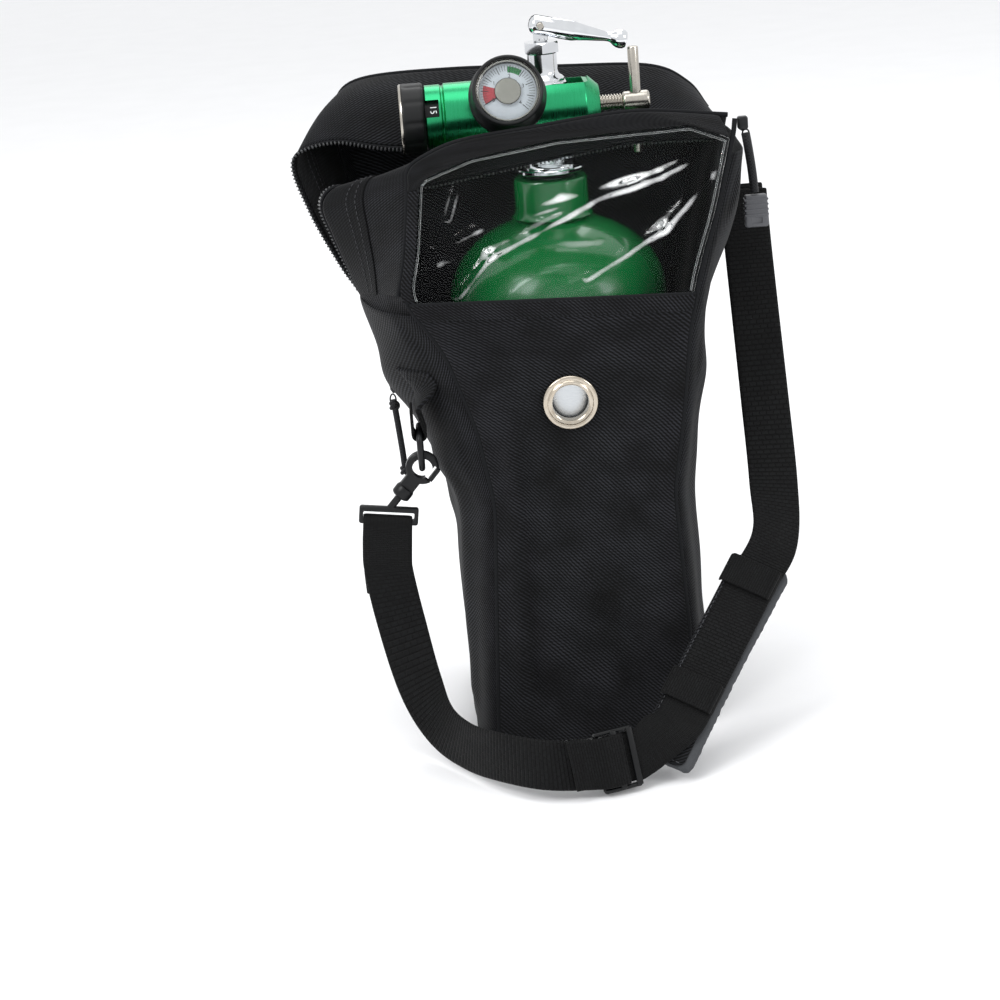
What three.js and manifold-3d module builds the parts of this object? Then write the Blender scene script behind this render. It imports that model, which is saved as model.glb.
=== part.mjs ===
// Portable oxygen kit: an aluminium cylinder with a post valve and a click-flow yoke
// regulator, standing in a zipped shoulder bag with a clear window and a webbing strap.
// Millimetres, +Z up. The origin is the centre of the bag's base, on the cylinder's axis,
// and the front of the bag faces -Y.
import * as THREE from 'three';
import { mergeVertices } from 'three/addons/utils/BufferGeometryUtils.js';
import Module from 'manifold-3d';

const wasm = await Module();
wasm.setup();

// ---- driving dimensions ----
const GAP = 0.3;
const SEAM_GAP = 2.5;

const SHELL_R = 55.5;
const SHELL_WALL = 6.5;
const SHELL_BASE_Z = 4;
const SHOULDER_Z = 222;
const NECK_R = 18.6;
const NECK_BASE_Z = 265;
const NECK_TOP_Z = 283;
const NECK_BORE_R = 9.5;

const AXIS_Z = 317.5;
const POST_X = 11;
const POST_Y = 9.5;
const POST_TOP_Z = 330.8;
const BARREL_TOP_Z = 345;
const GLAND_TOP_Z = 350.5;
const PIVOT_Z = 358.5;
const LEVER_DROOP_DEG = 14;

const BODY_R = 16.3;
const BODY_X0 = -60.2;
const BODY_X1 = 27.2;
const WINDOW_X0 = -13.5;
const WINDOW_X1 = 19.5;
const KNOB_R = 17.5;
const KNOB_X0 = -72.5;
const KNOB_X1 = -60.6;
const GAUGE_X = -19.5;
const GAUGE_TILT_DEG = 22;
const SCREW_R = 4.15;
const HUB_R = 4.8;
const HUB_X0 = 39.5;
const HUB_X1 = 52.5;
const BAR_X = 45.5;
const BAR_R = 2.75;
const BAR_LENGTH = 53;

const CLOTH = 2;
const FRONT_Y = -60.2;
const BACK_Y = 58.8;
const HEM_Z = 236;
const SPLIT_Z = 231;
const WEBBING = 25;
const GROMMET_Z = 181;

// ---- materials ----
const finish = (color, roughness, metalness) =>
  new THREE.MeshStandardMaterial({ color, roughness, metalness });
const greenPaint = () => finish(0x1f7a3c, 0.3, 0.1);
const greenAnodised = () => finish(0x1fa05c, 0.35, 0.9);
const chrome = () => finish(0xd8dadc, 0.12, 1);
const nickel = () => finish(0xb9b5ac, 0.35, 1);
const brass = () => finish(0xb08d4a, 0.35, 1);
const blackRubber = () => finish(0x141516, 0.7, 0);
const blackNylon = () => finish(0x1b1c1f, 0.85, 0);
const blackPlastic = () => finish(0x17181a, 0.45, 0);
const greyPlastic = () => finish(0x55565a, 0.5, 0);
const whiteEnamel = () => finish(0xe6e8f0, 0.5, 0);
const clearSheet = () => finish(0xeef2f2, 0.08, 0);

// ---- geometry helpers ----
const rad = THREE.MathUtils.degToRad;
const V = (x, y, z) => new THREE.Vector3(x, y, z);

// Merges shared corners, drops empty triangles and turns the faces outwards.
function closed(geometry) {
  const g = geometry.clone();
  g.deleteAttribute('normal');
  g.deleteAttribute('uv');
  const merged = mergeVertices(g, 1e-3);
  const p = merged.attributes.position;
  const kept = [];
  let volume = 0;
  const [a, b, c] = [V(0, 0, 0), V(0, 0, 0), V(0, 0, 0)];
  for (let i = 0; i < merged.index.count; i += 3) {
    const t = [0, 1, 2].map((k) => merged.index.getX(i + k));
    if (t[0] === t[1] || t[1] === t[2] || t[0] === t[2]) continue;
    kept.push(t);
    a.fromBufferAttribute(p, t[0]);
    b.fromBufferAttribute(p, t[1]);
    c.fromBufferAttribute(p, t[2]);
    volume += a.dot(b.cross(c)) / 6;
  }
  const triangles = kept.map((t) => (volume < 0 ? [t[0], t[2], t[1]] : t));
  merged.setIndex(triangles.flat());
  return merged;
}

function toSolid(geometry) {
  const g = closed(geometry);
  return new wasm.Manifold(new wasm.Mesh({
    numProp: 3,
    vertProperties: new Float32Array(g.attributes.position.array),
    triVerts: new Uint32Array(g.index.array),
  }));
}

function fromSolid(manifold) {
  const mesh = manifold.getMesh();
  const g = new THREE.BufferGeometry();
  g.setAttribute('position', new THREE.BufferAttribute(new Float32Array(mesh.vertProperties), 3));
  g.setIndex(Array.from(mesh.triVerts));
  return g;
}

const cut = (base, ...tools) =>
  fromSolid(tools.reduce((solid, tool) => solid.subtract(toSolid(tool)), toSolid(base)));
const join = (base, ...more) =>
  fromSolid(more.reduce((solid, piece) => solid.add(toSolid(piece)), toSolid(base)));
const common = (a, b) => fromSolid(toSolid(a).intersect(toSolid(b)));

// A turned piece about Z. The profile is a list of [radius, height].
function turned(profile, segments = 32) {
  const points = profile.map(([r, z]) => new THREE.Vector2(r, z));
  return new THREE.LatheGeometry(points, segments).rotateX(Math.PI / 2);
}

// A turned ring about Z, whose profile closes on itself.
const turnedRing = (profile, segments = 32) => turned([...profile, profile[0]], segments);

const alongX = (geometry) => geometry.rotateY(Math.PI / 2);
const box = (x, y, z, at = V(0, 0, 0)) => new THREE.BoxGeometry(x, y, z).translate(at.x, at.y, at.z);
const rodZ = (r, z0, z1, segments = 24) => turned([[0, z0], [r, z0], [r, z1], [0, z1]], segments);
const rodX = (r, x0, x1, segments = 24) => alongX(rodZ(r, x0, x1, segments));
const rodY = (r, y0, y1, segments = 24) => rodZ(r, -y1, -y0, segments).rotateX(Math.PI / 2);

// An open-ended piece of cloth, film or webbing: surface(u, v) gives its middle.
function sheet(surface, nu, nv, thickness) {
  const g = new THREE.BoxGeometry(1, 1, 1, nu, nv, 1);
  const p = g.attributes.position;
  const step = 0.002;
  for (let i = 0; i < p.count; i += 1) {
    const u = p.getX(i) + 0.5;
    const v = p.getY(i) + 0.5;
    const u0 = Math.min(u, 1 - step);
    const v0 = Math.min(v, 1 - step);
    const at = surface(u0, v0);
    const across = surface(u0 + step, v0).sub(at);
    const up = surface(u0, v0 + step).sub(at);
    const normal = across.cross(up).normalize();
    const q = surface(u, v).addScaledVector(normal, p.getZ(i) * thickness);
    p.setXYZ(i, q.x, q.y, q.z);
  }
  return g;
}

// A value read along a list of [z, value] stations, smoothly.
function along(stations, z) {
  const last = stations.length - 1;
  if (z <= stations[0][0]) return stations[0][1];
  if (z >= stations[last][0]) return stations[last][1];
  const i = stations.findIndex(([s]) => s > z) - 1;
  const [z0, a] = stations[i];
  const [z1, b] = stations[i + 1];
  return THREE.MathUtils.lerp(a, b, (z - z0) / (z1 - z0));
}

const curveThrough = (points) =>
  new THREE.CatmullRomCurve3(points.map((p) => V(...p)), false, 'centripetal');

// A round cord along a route.
function cord(points, radius, sides, steps) {
  const section = new THREE.Shape();
  section.absarc(0, 0, radius, 0, Math.PI * 2);
  return new THREE.ExtrudeGeometry(section, {
    steps, curveSegments: sides / 2, bevelEnabled: false, extrudePath: curveThrough(points),
  });
}

const root = new THREE.Group();
function part(name, geometry, material, parent = root) {
  const mesh = new THREE.Mesh(closed(geometry), material);
  mesh.name = name;
  parent.add(mesh);
  return mesh;
}

// ---- cylinder ----
function cylinderProfile() {
  const outer = [[0, SHELL_BASE_Z + 9], [20, SHELL_BASE_Z + 7], [38, SHELL_BASE_Z + 1], [45, SHELL_BASE_Z]];
  outer.push([51, SHELL_BASE_Z + 1.6], [54.6, SHELL_BASE_Z + 5.5], [SHELL_R, SHELL_BASE_Z + 11]);
  const dome = [];
  const inner = [];
  for (let i = 0; i <= 5; i += 1) {
    const a = rad(i * 14.6);
    dome.push([SHELL_R * Math.cos(a), SHOULDER_Z + 42 * Math.sin(a)]);
    if (i % 2 === 1 || i === 0) inner.push([(SHELL_R - SHELL_WALL) * Math.cos(a), SHOULDER_Z + 34 * Math.sin(a)]);
  }
  outer.push(...dome, [NECK_R, NECK_BASE_Z], [NECK_R, NECK_TOP_Z], [NECK_BORE_R, NECK_TOP_Z]);
  outer.push([NECK_BORE_R, SHOULDER_Z + 36], ...inner.reverse());
  outer.push([SHELL_R - SHELL_WALL, SHELL_BASE_Z + 22], [40, SHELL_BASE_Z + 17], [0, SHELL_BASE_Z + 16]);
  return outer;
}

part('cylinder_shell', turned(cylinderProfile(), 36), greenPaint());

const oRingProfile = [];
for (let i = 0; i < 6; i += 1) {
  oRingProfile.push([11.6 + 1.1 * Math.cos(rad(i * 60)), NECK_TOP_Z + 1.45 + 1.1 * Math.sin(rad(i * 60))]);
}
part('neck_o_ring', turnedRing(oRingProfile, 20), blackRubber());

// ---- post valve ----
function valveBody() {
  const plug = turned([[0, 258], [9.2, 258], [9.2, NECK_TOP_Z + GAP], [10.2, NECK_TOP_Z + GAP],
    [10.2, NECK_TOP_Z + 3], [0, NECK_TOP_Z + 3]], 20);
  const collar = turned([[0, 285.9], [18, 285.9], [18, 288.2], [13, 288.6], [13, 291.4], [14.2, 291.4],
    [14.2, 293], [0, 293]], 28);
  const block = box(2 * POST_X, 2 * POST_Y, POST_TOP_Z - 292, V(0, 0, (POST_TOP_Z + 292) / 2));
  const rounding = rodZ(13.4, 290, 333, 24);
  const head = turned([[0, 330.6], [10.6, 330.6], [10.6, 332.4], [9.4, 333.2], [7.6, 334.4],
    [7.5, BARREL_TOP_Z], [0, BARREL_TOP_Z]], 24);
  const body = join(plug, collar, common(block, rounding), head);
  const outlet = rodX(3.2, -14, 0.5, 16);
  const stemBore = rodZ(3.1, 311, 346, 16);
  const inletBore = rodZ(2.4, 257, 312, 12);
  const pinHoles = [-1, 1].map((side) => rodX(2.4, -14, -5, 12).translate(0, side * 5, 0));
  pinHoles.forEach((hole) => hole.translate(0, 0, AXIS_Z - 10.5));
  outlet.translate(0, 0, AXIS_Z);
  return cut(body, outlet, stemBore, inletBore, ...pinHoles);
}
part('valve_body', valveBody(), chrome());

const hexRing = turnedRing([[3.3, BARREL_TOP_Z + GAP], [8.9, BARREL_TOP_Z + GAP], [9.2, BARREL_TOP_Z + 1.2],
  [9.2, GLAND_TOP_Z - 1.1], [8.5, GLAND_TOP_Z], [3.3, GLAND_TOP_Z]], 6);
part('gland_nut', hexRing, chrome());

const stemShaft = rodZ(2.75, 313, PIVOT_Z - 7, 16);
const stemTongue = cut(
  join(box(7.4, 3, 8, V(0, 0, PIVOT_Z - 4)), rodY(3.7, -1.5, 1.5, 20).translate(0, 0, PIVOT_Z)),
  rodY(2.05, -3, 3, 16).translate(0, 0, PIVOT_Z),
);
part('valve_stem', join(stemShaft, stemTongue), chrome());
part('lever_pin', rodY(1.75, -5.2, 5.2, 16).translate(0, 0, PIVOT_Z), nickel());

function toggleLever() {
  const profile = [[0, -5.6], [3, -5.1], [5, -3], [5, 17], [4.6, 19], [2.9, 30], [2.4, 33],
    [2.5, 36], [4.2, 38.6], [4.8, 40], [4.8, 42.6], [3.8, 44], [0, 44.2]];
  const arm = alongX(turned(profile, 18));
  const slot = box(13.4, 3.6, 14, V(-0.9, 0, 0));
  const eye = rodY(2.05, -7, 7, 16);
  return cut(arm, slot, eye).rotateY(rad(LEVER_DROOP_DEG)).translate(0, 0, PIVOT_Z);
}
part('toggle_lever', toggleLever(), chrome());

// ---- yoke regulator ----
const gauge = new THREE.Group();
gauge.position.set(GAUGE_X, 0, AXIS_Z);
gauge.rotation.x = Math.PI / 2 - rad(GAUGE_TILT_DEG);
root.add(gauge);
const gaugeAxisTool = (geometry) => geometry.rotateX(gauge.rotation.x).translate(GAUGE_X, 0, AXIS_Z);

function regulatorBody() {
  const bar = alongX(turned([[0, BODY_X0], [15.4, BODY_X0], [15.9, BODY_X0 + 0.6], [15.9, -52.4], [15.2, -51.8],
    [15.2, -50.8], [BODY_R, -50.2], [BODY_R, 19.6], [15.6, 20.6], [9.6, BODY_X1], [0, BODY_X1]], 32));
  const window = box(WINDOW_X1 - WINDOW_X0, 2 * (POST_Y + 0.5), 40, V((WINDOW_X0 + WINDOW_X1) / 2, 0, 0));
  const flats = [-1, 1].map((side) => box(37, 40, 8, V(3.2, 0, side * 16.6)));
  const chamber = rodX(11.6, BODY_X0 - 1, -24, 20);
  const ringSeat = rodX(13.6, BODY_X0 - 1, -52.1, 20);
  const inlet = rodX(3.1, -26, WINDOW_X0 + 1, 16);
  const threadBore = rodX(SCREW_R + GAP, WINDOW_X1 - 1, BODY_X1 + 1, 20);
  const pinSeats = [-1, 1].map((side) => rodX(2.3, -19.5, WINDOW_X0 + 1, 12).translate(0, side * 5, -10.5));
  const readout = box(5.4, 12, 8.4, V(-56.2, -15, 0)).rotateX(rad(-24));
  const tools = [window, ...flats, chamber, ringSeat, inlet, threadBore, ...pinSeats, readout];
  const barbPort = rodZ(3.3, -20, 0, 16).rotateX(rad(30)).translate(-40, 0, 0);
  tools.push(barbPort);
  tools.forEach((tool) => tool.translate(0, 0, AXIS_Z));
  const gaugePort = gaugeAxisTool(rodZ(4, 9, 22, 20));
  return cut(bar.translate(0, 0, AXIS_Z), ...tools, gaugePort);
}
part('regulator_body', regulatorBody(), greenAnodised());

const nipple = alongX(turnedRing([[1.2, -22], [2.8, -22], [2.8, -9.5], [1.2, -9.5]], 16));
part('inlet_nipple', nipple.translate(0, 0, AXIS_Z), brass());
const washer = alongX(turnedRing([[3.3, -13.2], [6.8, -13.2], [6.8, -11.3], [3.3, -11.3]], 24));
part('yoke_washer', washer.translate(0, 0, AXIS_Z), brass());
[-1, 1].forEach((side, i) => {
  const pin = alongX(turned([[0, -19], [2, -19], [2, -8.6], [1.4, -7.6], [0, -7.6]], 12));
  part(`index_pin_${i + 1}`, pin.translate(0, side * 5, AXIS_Z - 10.5), nickel());
});

const pistonProfile = [[0, -31], [11.2, -31], [11.2, -33.4], [10.3, -33.4], [10.3, -34.6], [11.2, -34.6],
  [11.2, -36], [4, -36], [4, -44], [0, -44]];
part('piston', alongX(turned(pistonProfile, 18)).translate(0, 0, AXIS_Z), brass());

const springRoute = [];
const springTurns = 3;
for (let i = 0; i <= springTurns * 8; i += 1) {
  const a = (i / 8) * Math.PI * 2;
  springRoute.push([-38.6 - i * 0.38, 8 * Math.cos(a), AXIS_Z + 8 * Math.sin(a)]);
}
part('piston_spring', cord(springRoute, 0.85, 6, springTurns * 10), nickel());

const orificeDisc = alongX(turnedRing([[1, -51.2], [11.2, -51.2], [11.2, -48.8], [1, -48.8]], 18));
part('orifice_disc', orificeDisc.translate(0, 0, AXIS_Z), brass());
const numberRing = alongX(turnedRing([[9, -59.8], [13.2, -59.8], [13.2, -52.5], [9, -52.5]], 20));
part('number_ring', numberRing.translate(0, 0, AXIS_Z), blackPlastic());

function flowKnob() {
  const grip = alongX(turned([[0, KNOB_X0 + 1], [13.4, KNOB_X0 + 1], [13.4, KNOB_X0], [16.4, KNOB_X0],
    [KNOB_R, KNOB_X0 + 1.2], [KNOB_R, KNOB_X1 - 1], [16.6, KNOB_X1], [8.6, KNOB_X1], [8.6, KNOB_X1 + 0.01],
    [3.4, KNOB_X1 + 0.02], [3.4, -51.6], [0, -51.6]], 30));
  const grooves = [];
  for (let i = 0; i < 10; i += 1) {
    grooves.push(rodX(1.3, KNOB_X0 + 2.4, KNOB_X1 + 2, 8).translate(0, 0, KNOB_R + 0.4).rotateX(rad(i * 36)));
  }
  return cut(grip, ...grooves).translate(0, 0, AXIS_Z);
}
part('flow_knob', flowKnob(), blackRubber());
const capProfile = [[0, KNOB_X0 - 0.6], [12.4, KNOB_X0 - 0.6], [13, KNOB_X0], [13, KNOB_X0 + 0.7], [0, KNOB_X0 + 0.7]];
part('knob_cap', alongX(turned(capProfile, 32)).translate(0, 0, AXIS_Z), nickel());

const barbProfile = [[1.4, -37], [2.4, -37], [3.6, -33.5], [2.9, -33.5], [4, -29.5], [3, -29.5], [4.2, -25.5],
  [3, -25.5], [3, -22], [5, -22], [5, -16.8], [3, -16.8], [3, -12.5], [1.4, -12.5]];
part('hose_barb', turnedRing(barbProfile, 12).rotateX(rad(30)).translate(-40, 0, AXIS_Z), nickel());

// ---- contents gauge, turned about its own axis ----
const stem = join(rodZ(3.7, 12.5, 28.2, 16), turned([[0, 17], [6.4, 17], [6.4, 25.6], [0, 25.6]], 6));
part('gauge_stem', cut(stem, rodZ(1.2, 12, 29, 10)), brass(), gauge);
part('gauge_case', turned([[0, 28.5], [15.7, 28.5], [15.7, 42], [14.4, 42], [14.4, 30], [0, 30]], 28), nickel(), gauge);
part('gauge_boot', turnedRing([[7.4, 26], [17.6, 26], [19.2, 27.4], [19.2, 31.5], [18.4, 33], [17.2, 43.4],
  [16.6, 43.9], [15.6, 43.9], [16, 42.3], [16, 28.1], [7.4, 28.1]], 30), blackRubber(), gauge);
part('gauge_dial', turnedRing([[1.6, 38], [14.1, 38], [14.1, 38.8], [1.6, 38.8]], 24), whiteEnamel(), gauge);

const LOW_END_DEG = 205;
const needle = new THREE.Shape();
needle.moveTo(-3, 0.6);
needle.lineTo(11.4, 0.25);
needle.lineTo(11.4, -0.25);
needle.lineTo(-3, -0.6);
const blade = new THREE.ExtrudeGeometry(needle, { depth: 0.5, bevelEnabled: false }).translate(0, 0, 39.2);
const pointer = join(blade, rodZ(1.2, 35, 39.9, 12)).rotateZ(rad(LOW_END_DEG));
part('gauge_pointer', pointer, blackPlastic(), gauge);
part('gauge_hub_disc', turned([[0, 40.2], [6.3, 40.2], [6.5, 40.6], [5.9, 41.5], [0, 41.6]], 20), nickel(), gauge);
part('gauge_lens', turned([[0, 42.3], [15.2, 42.3], [15.2, 43.2], [12, 43.9], [0, 44.2]], 24), clearSheet(), gauge);

const bourdonRoute = [];
for (let i = 0; i <= 12; i += 1) {
  const a = rad(-60 + i * 22.5);
  bourdonRoute.push([10.2 * Math.cos(a), 10.2 * Math.sin(a), 34]);
}
part('bourdon_tube', cord(bourdonRoute, 1.6, 8, 16), brass(), gauge);

// ---- yoke clamp screw ----
const screwProfile = [[0, 15.2]];
screwProfile.push([2.4, 15.2], [3, 16], [3, 19], [SCREW_R, 20]);
screwProfile.push([SCREW_R, 36.4], [3.5, 37], [3.5, HUB_X0 - 0.8], [HUB_R - 0.6, HUB_X0], [HUB_R, HUB_X0 + 0.8]);
screwProfile.push([HUB_R, HUB_X1 - 0.9], [HUB_R - 0.9, HUB_X1], [0, HUB_X1]);
const clampScrew = cut(alongX(turned(screwProfile, 16)), rodZ(BAR_R + GAP, -9, 9, 20).translate(BAR_X, 0, 0));
part('clamp_screw', clampScrew.translate(0, 0, AXIS_Z), nickel());
const halfBar = BAR_LENGTH / 2;
const barProfile = [[0, -halfBar], [BAR_R - 0.5, -halfBar], [BAR_R, 0.6 - halfBar], [BAR_R, halfBar - 0.6],
  [BAR_R - 0.5, halfBar], [0, halfBar]];
part('t_bar', turned(barProfile, 16).translate(BAR_X, 0, AXIS_Z + 0.5), nickel());
const padProfile = [[0, POST_X + 0.3], [5, POST_X + 0.3], [5.4, POST_X + 0.8], [4.6, POST_X + 3.4], [0, POST_X + 3.4]];
part('thrust_pad', alongX(turned(padProfile, 20)).translate(0, 0, AXIS_Z), nickel());

// ---- bag: stations up the height give where each panel's edges run ----
const frontLeftX = [[0, -50], [50, -47], [130, -42], [170, -48], [211, -61], [240, -80], [258, -75], [310, -68]];
const frontRightX = [[0, 49], [50, 52], [130, 48], [170, 55], [211, 60], [240, 67], [270, 78], [310, 89]];
const backLeftX = [[0, -50], [130, -50], [180, -68], [231, -87], [290, -106], [312, -107], [332, -92]];
const backRightX = [[0, 50], [130, 50], [200, 61], [260, 75], [300, 86], [326, 70]];
const sideLeftX = [[0, -60], [122, -62], [139, -67], [181, -84], [208, -94], [SPLIT_Z, -101]];
const sideRightX = [[0, 59], [130, 59], [160, 61], [200, 69], [SPLIT_Z, 77], [300, 96]];
const frontY = [[0, FRONT_Y], [230, FRONT_Y], [315, -48]];

const frontAt = (x, z, lift = 0) => V(x, along(frontY, z) - lift, z);

function frontPanel(u, v) {
  const hem = HEM_Z - 6 * u;
  const z = 3 + v * (hem - 3);
  const x = THREE.MathUtils.lerp(along(frontLeftX, z) + 1, along(frontRightX, z) - 1, u);
  return frontAt(x, z, 0.8 * Math.sin(Math.PI * u));
}
const eyeletHole = rodY(10.4, -70, -50, 24).translate(-1, 0, GROMMET_Z);
part('front_panel', cut(sheet(frontPanel, 6, 11, CLOTH), eyeletHole), blackNylon());

function backPanel(u, v) {
  const top = along([[0, 327], [0.1, 331], [0.85, 325], [1, 304]], u);
  const z = 3 + v * (top - 3);
  const x = THREE.MathUtils.lerp(along(backLeftX, v * 331) + 0.5, along(backRightX, v * 326) - 0.5, u);
  return V(x, BACK_Y, z);
}
part('back_panel', sheet(backPanel, 6, 10, CLOTH), blackNylon());

// A side panel runs from the front seam round the side to the back seam.
function sidePanel(side, edgeFront, edgeSide, edgeBack, topZ) {
  return (u, v) => {
    const z = 3 + v * (topZ - 3);
    const front = V(along(edgeFront, z), along(frontY, z) + SEAM_GAP, z);
    const middle = along(edgeSide, z);
    const back = V(along(edgeBack, z), BACK_Y - SEAM_GAP, z);
    const round = 9;
    const route = u < 0.5
      ? new THREE.CubicBezierCurve3(front, V(front.x + side * round, front.y, z), V(middle, -34, z), V(middle, 0, z))
      : new THREE.CubicBezierCurve3(V(middle, 0, z), V(middle, 34, z), V(back.x + side * round, back.y, z), back);
    return route.getPoint(u < 0.5 ? u * 2 : u * 2 - 1);
  };
}
part('left_panel', sheet(sidePanel(-1, frontLeftX, sideLeftX, backLeftX, SPLIT_Z - 0.4), 10, 10, CLOTH), blackNylon());
part('right_panel', sheet(sidePanel(1, frontRightX, sideRightX, backRightX, 296), 10, 11, CLOTH), blackNylon());

const baseShape = new THREE.Shape();
baseShape.moveTo(-49, -61);
baseShape.lineTo(47, -61);
baseShape.quadraticCurveTo(60, -60, 60, -47);
baseShape.lineTo(60, 46);
baseShape.quadraticCurveTo(60, 59, 47, 59.5);
baseShape.lineTo(-49, 59.5);
baseShape.quadraticCurveTo(-61, 59, -61, 46);
baseShape.lineTo(-61, -47);
baseShape.quadraticCurveTo(-61, -60, -49, -61);
part('base_panel', new THREE.ExtrudeGeometry(baseShape, { depth: 1.8, bevelEnabled: false, curveSegments: 5 }),
  blackNylon());

const LID_STATIONS = 20;
const MOUTH_STATIONS = 24;
// The rear half of the zipped gusset, folded back: from the back panel's seam to the open zip.
const lidSeam = curveThrough([[-88, 56.8, 232], [-101, 56.8, 270], [-108, 56.8, 298], [-107, 56.6, 318],
  [-93, 56.4, 331], [-45, 56.4, 332.6], [10, 56.4, 329.5], [58, 56.4, 326], [78, 56, 316], [88, 55, 302]]);
const lidEdge = curveThrough([[-101, 4, 232], [-110, 6, 247], [-122.5, 9, 275], [-128, 14, 300],
  [-108, 20, 307], [-72, 23, 300.5], [0, 27, 299], [50, 27, 299], [80, 24, 300], [92, 14, 298]]);
const lidStrip = (u, v) => {
  const p = lidSeam.getPoint(u).lerp(lidEdge.getPoint(u), v);
  p.z += 4 * Math.sin(Math.PI * v) * Math.sin(Math.PI * u);
  return p;
};
part('lid_gusset', sheet(lidStrip, LID_STATIONS, 2, CLOTH), blackNylon());

// The front half of the gusset: from the front seam to the zip, tucked in along the top.
const mouthSeam = curveThrough([[-81, -55, 240], [-77, -53, 256], [-74, -51, 275], [-72, -49.5, 292],
  [-71, -48.5, 300], [-64, -48, 305.5], [-45, -47, 312], [-10, -47, 315.5], [40, -45.5, 319], [86, -41, 313]]);
const mouthEdge = curveThrough([[-100, -4, 232.5], [-105, -6, 245], [-111, -8, 263], [-115, -12, 280],
  [-106, -19, 289], [-85, -30, 289.5], [-60, -35, 291], [-15, -36, 297], [40, -35, 303], [86, -22, 299]]);
const mouthStrip = (u, v) => mouthSeam.getPoint(u).lerp(mouthEdge.getPoint(u), v);
part('mouth_gusset', sheet(mouthStrip, MOUTH_STATIONS, 1, CLOTH), blackNylon());

// The window film is sewn to the hem below and to the seam above.
const filmTop = [[-69, 291], [-66, 296], [-43, 304], [0, 309.5], [66, 311], [87, 303]];
function windowFilm(u, v) {
  const hem = HEM_Z + 1.6 - 6 * u;
  const across = THREE.MathUtils.lerp(-69, 87, u);
  const z = hem + v * (along(filmTop, across) - hem);
  const x = THREE.MathUtils.lerp(along(frontLeftX, z) + 3.4, along(frontRightX, z) - 1.5, u);
  return frontAt(x, z, 1.6 * Math.sin(Math.PI * u) * Math.sin(Math.PI * v));
}
part('window_film', sheet(windowFilm, 8, 6, 0.8), clearSheet());

// ---- eyelet in the front panel ----
const eyeletProfile = [[9, 3], [9.2, -2.2], [11.4, -3], [13.4, -2.2], [13.8, -1.4], [10.1, -1.4], [9.7, 3]];
part('grommet_eyelet', turnedRing(eyeletProfile, 24).rotateX(-Math.PI / 2).translate(-1, FRONT_Y - 0.8, GROMMET_Z),
  nickel());
const backRing = turnedRing([[10, 1.4], [13.4, 1.4], [13, 2.2], [10, 2.6]], 24).rotateX(-Math.PI / 2);
part('grommet_washer', backRing.translate(-1, FRONT_Y - 0.8, GROMMET_Z), nickel());

// ---- zip: teeth along both free edges, sliders and pulls ----
const CHAIN_R = 1.2;
function zipChain(seam, edge, stations) {
  const points = [];
  for (let i = 1; i < stations; i += 1) {
    const t = i / stations;
    const rim = edge.getPoint(t);
    const forwards = edge.getTangent(t);
    const outwards = rim.clone().sub(seam.getPoint(t));
    outwards.addScaledVector(forwards, -outwards.dot(forwards)).normalize();
    points.push(rim.addScaledVector(outwards, CHAIN_R + 3 * GAP).toArray());
  }
  return cord(points, CHAIN_R, 6, stations * 2);
}
part('lid_zip_chain', zipChain(lidSeam, lidEdge, LID_STATIONS), greyPlastic());
part('mouth_zip_chain', zipChain(mouthSeam, mouthEdge, MOUTH_STATIONS), greyPlastic());

// The left slider closes the lower end of the zip, and the right one its upper end.
const SLIDER_LEFT = V(-90.4, -7, 184);
const SLIDER_RIGHT = V(98.6, -1, 302);
part('zip_slider_left', box(5, 6, 10, SLIDER_LEFT), nickel());
part('zip_slider_right', box(5.6, 6, 7, SLIDER_RIGHT), nickel());

const pullRouteLeft = [[-89.2, -8.2, 175.6], [-88.6, -8.6, 170], [-87.6, -9, 158], [-86.8, -9.2, 147], [-86.4, -9, 138]];
part('pull_cord_left', cord(pullRouteLeft, 1.7, 8, 14), blackNylon());
const pullRouteRight = [[99.8, -1.4, 296.8], [100.8, -2.2, 289], [101.9, -3.6, 278], [102.6, -4.6, 266.8]];
part('pull_cord_right', cord(pullRouteRight, 2.3, 8, 12), blackNylon());
const TAB_Z = 249;
const tab = new THREE.Shape();
tab.moveTo(-5, 0);
tab.lineTo(-6.4, 3);
tab.lineTo(-5.4, 17);
tab.lineTo(5.4, 17);
tab.lineTo(6.4, 3);
tab.lineTo(5, 0);
const tabBody = new THREE.ExtrudeGeometry(tab, { depth: 5, bevelEnabled: false }).rotateX(Math.PI / 2);
part('pull_tab_right', tabBody.translate(103, -2.2, TAB_Z), greyPlastic());

// ---- left anchor: a webbing loop holds the ring, and the snap hook holds the strap ----
const RING = V(-77, -50, 170);
const RING_DEPTH = 3.2;
function plate(points, depth) {
  const shape = new THREE.Shape(points.map(([x, y]) => new THREE.Vector2(x, y)));
  return new THREE.ExtrudeGeometry(shape, { depth, bevelEnabled: false });
}
// A D with its straight bar at the top, in the plane of Y and Z.
function dPlate(halfWidth, top, bottom, depth) {
  const points = [[-halfWidth, top], [halfWidth, top]];
  for (let i = 0; i <= 8; i += 1) {
    const a = rad(i * 22.5);
    points.push([halfWidth * Math.cos(a), bottom + halfWidth - halfWidth * Math.sin(a)]);
  }
  return plate(points, depth).translate(0, 0, -depth / 2).rotateX(Math.PI / 2).rotateZ(Math.PI / 2);
}
const dRing = cut(dPlate(13.5, 1.6, -21, RING_DEPTH), dPlate(10.3, -1.6, -17.8, RING_DEPTH + 2));
part('d_ring_left', dRing.translate(RING.x, RING.y, RING.z), blackPlastic());
const loopOutside = join(box(8.4, 19, 12, V(0, 0, 6)), rodY(4.2, -9.5, 9.5, 16));
const loopInside = join(box(4.6, 22, 4.6, V(0, 0, 2.3)), rodY(2.3, -11, 11, 16));
part('anchor_loop_left', cut(loopOutside, loopInside).translate(RING.x, RING.y, RING.z), blackNylon());

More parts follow.
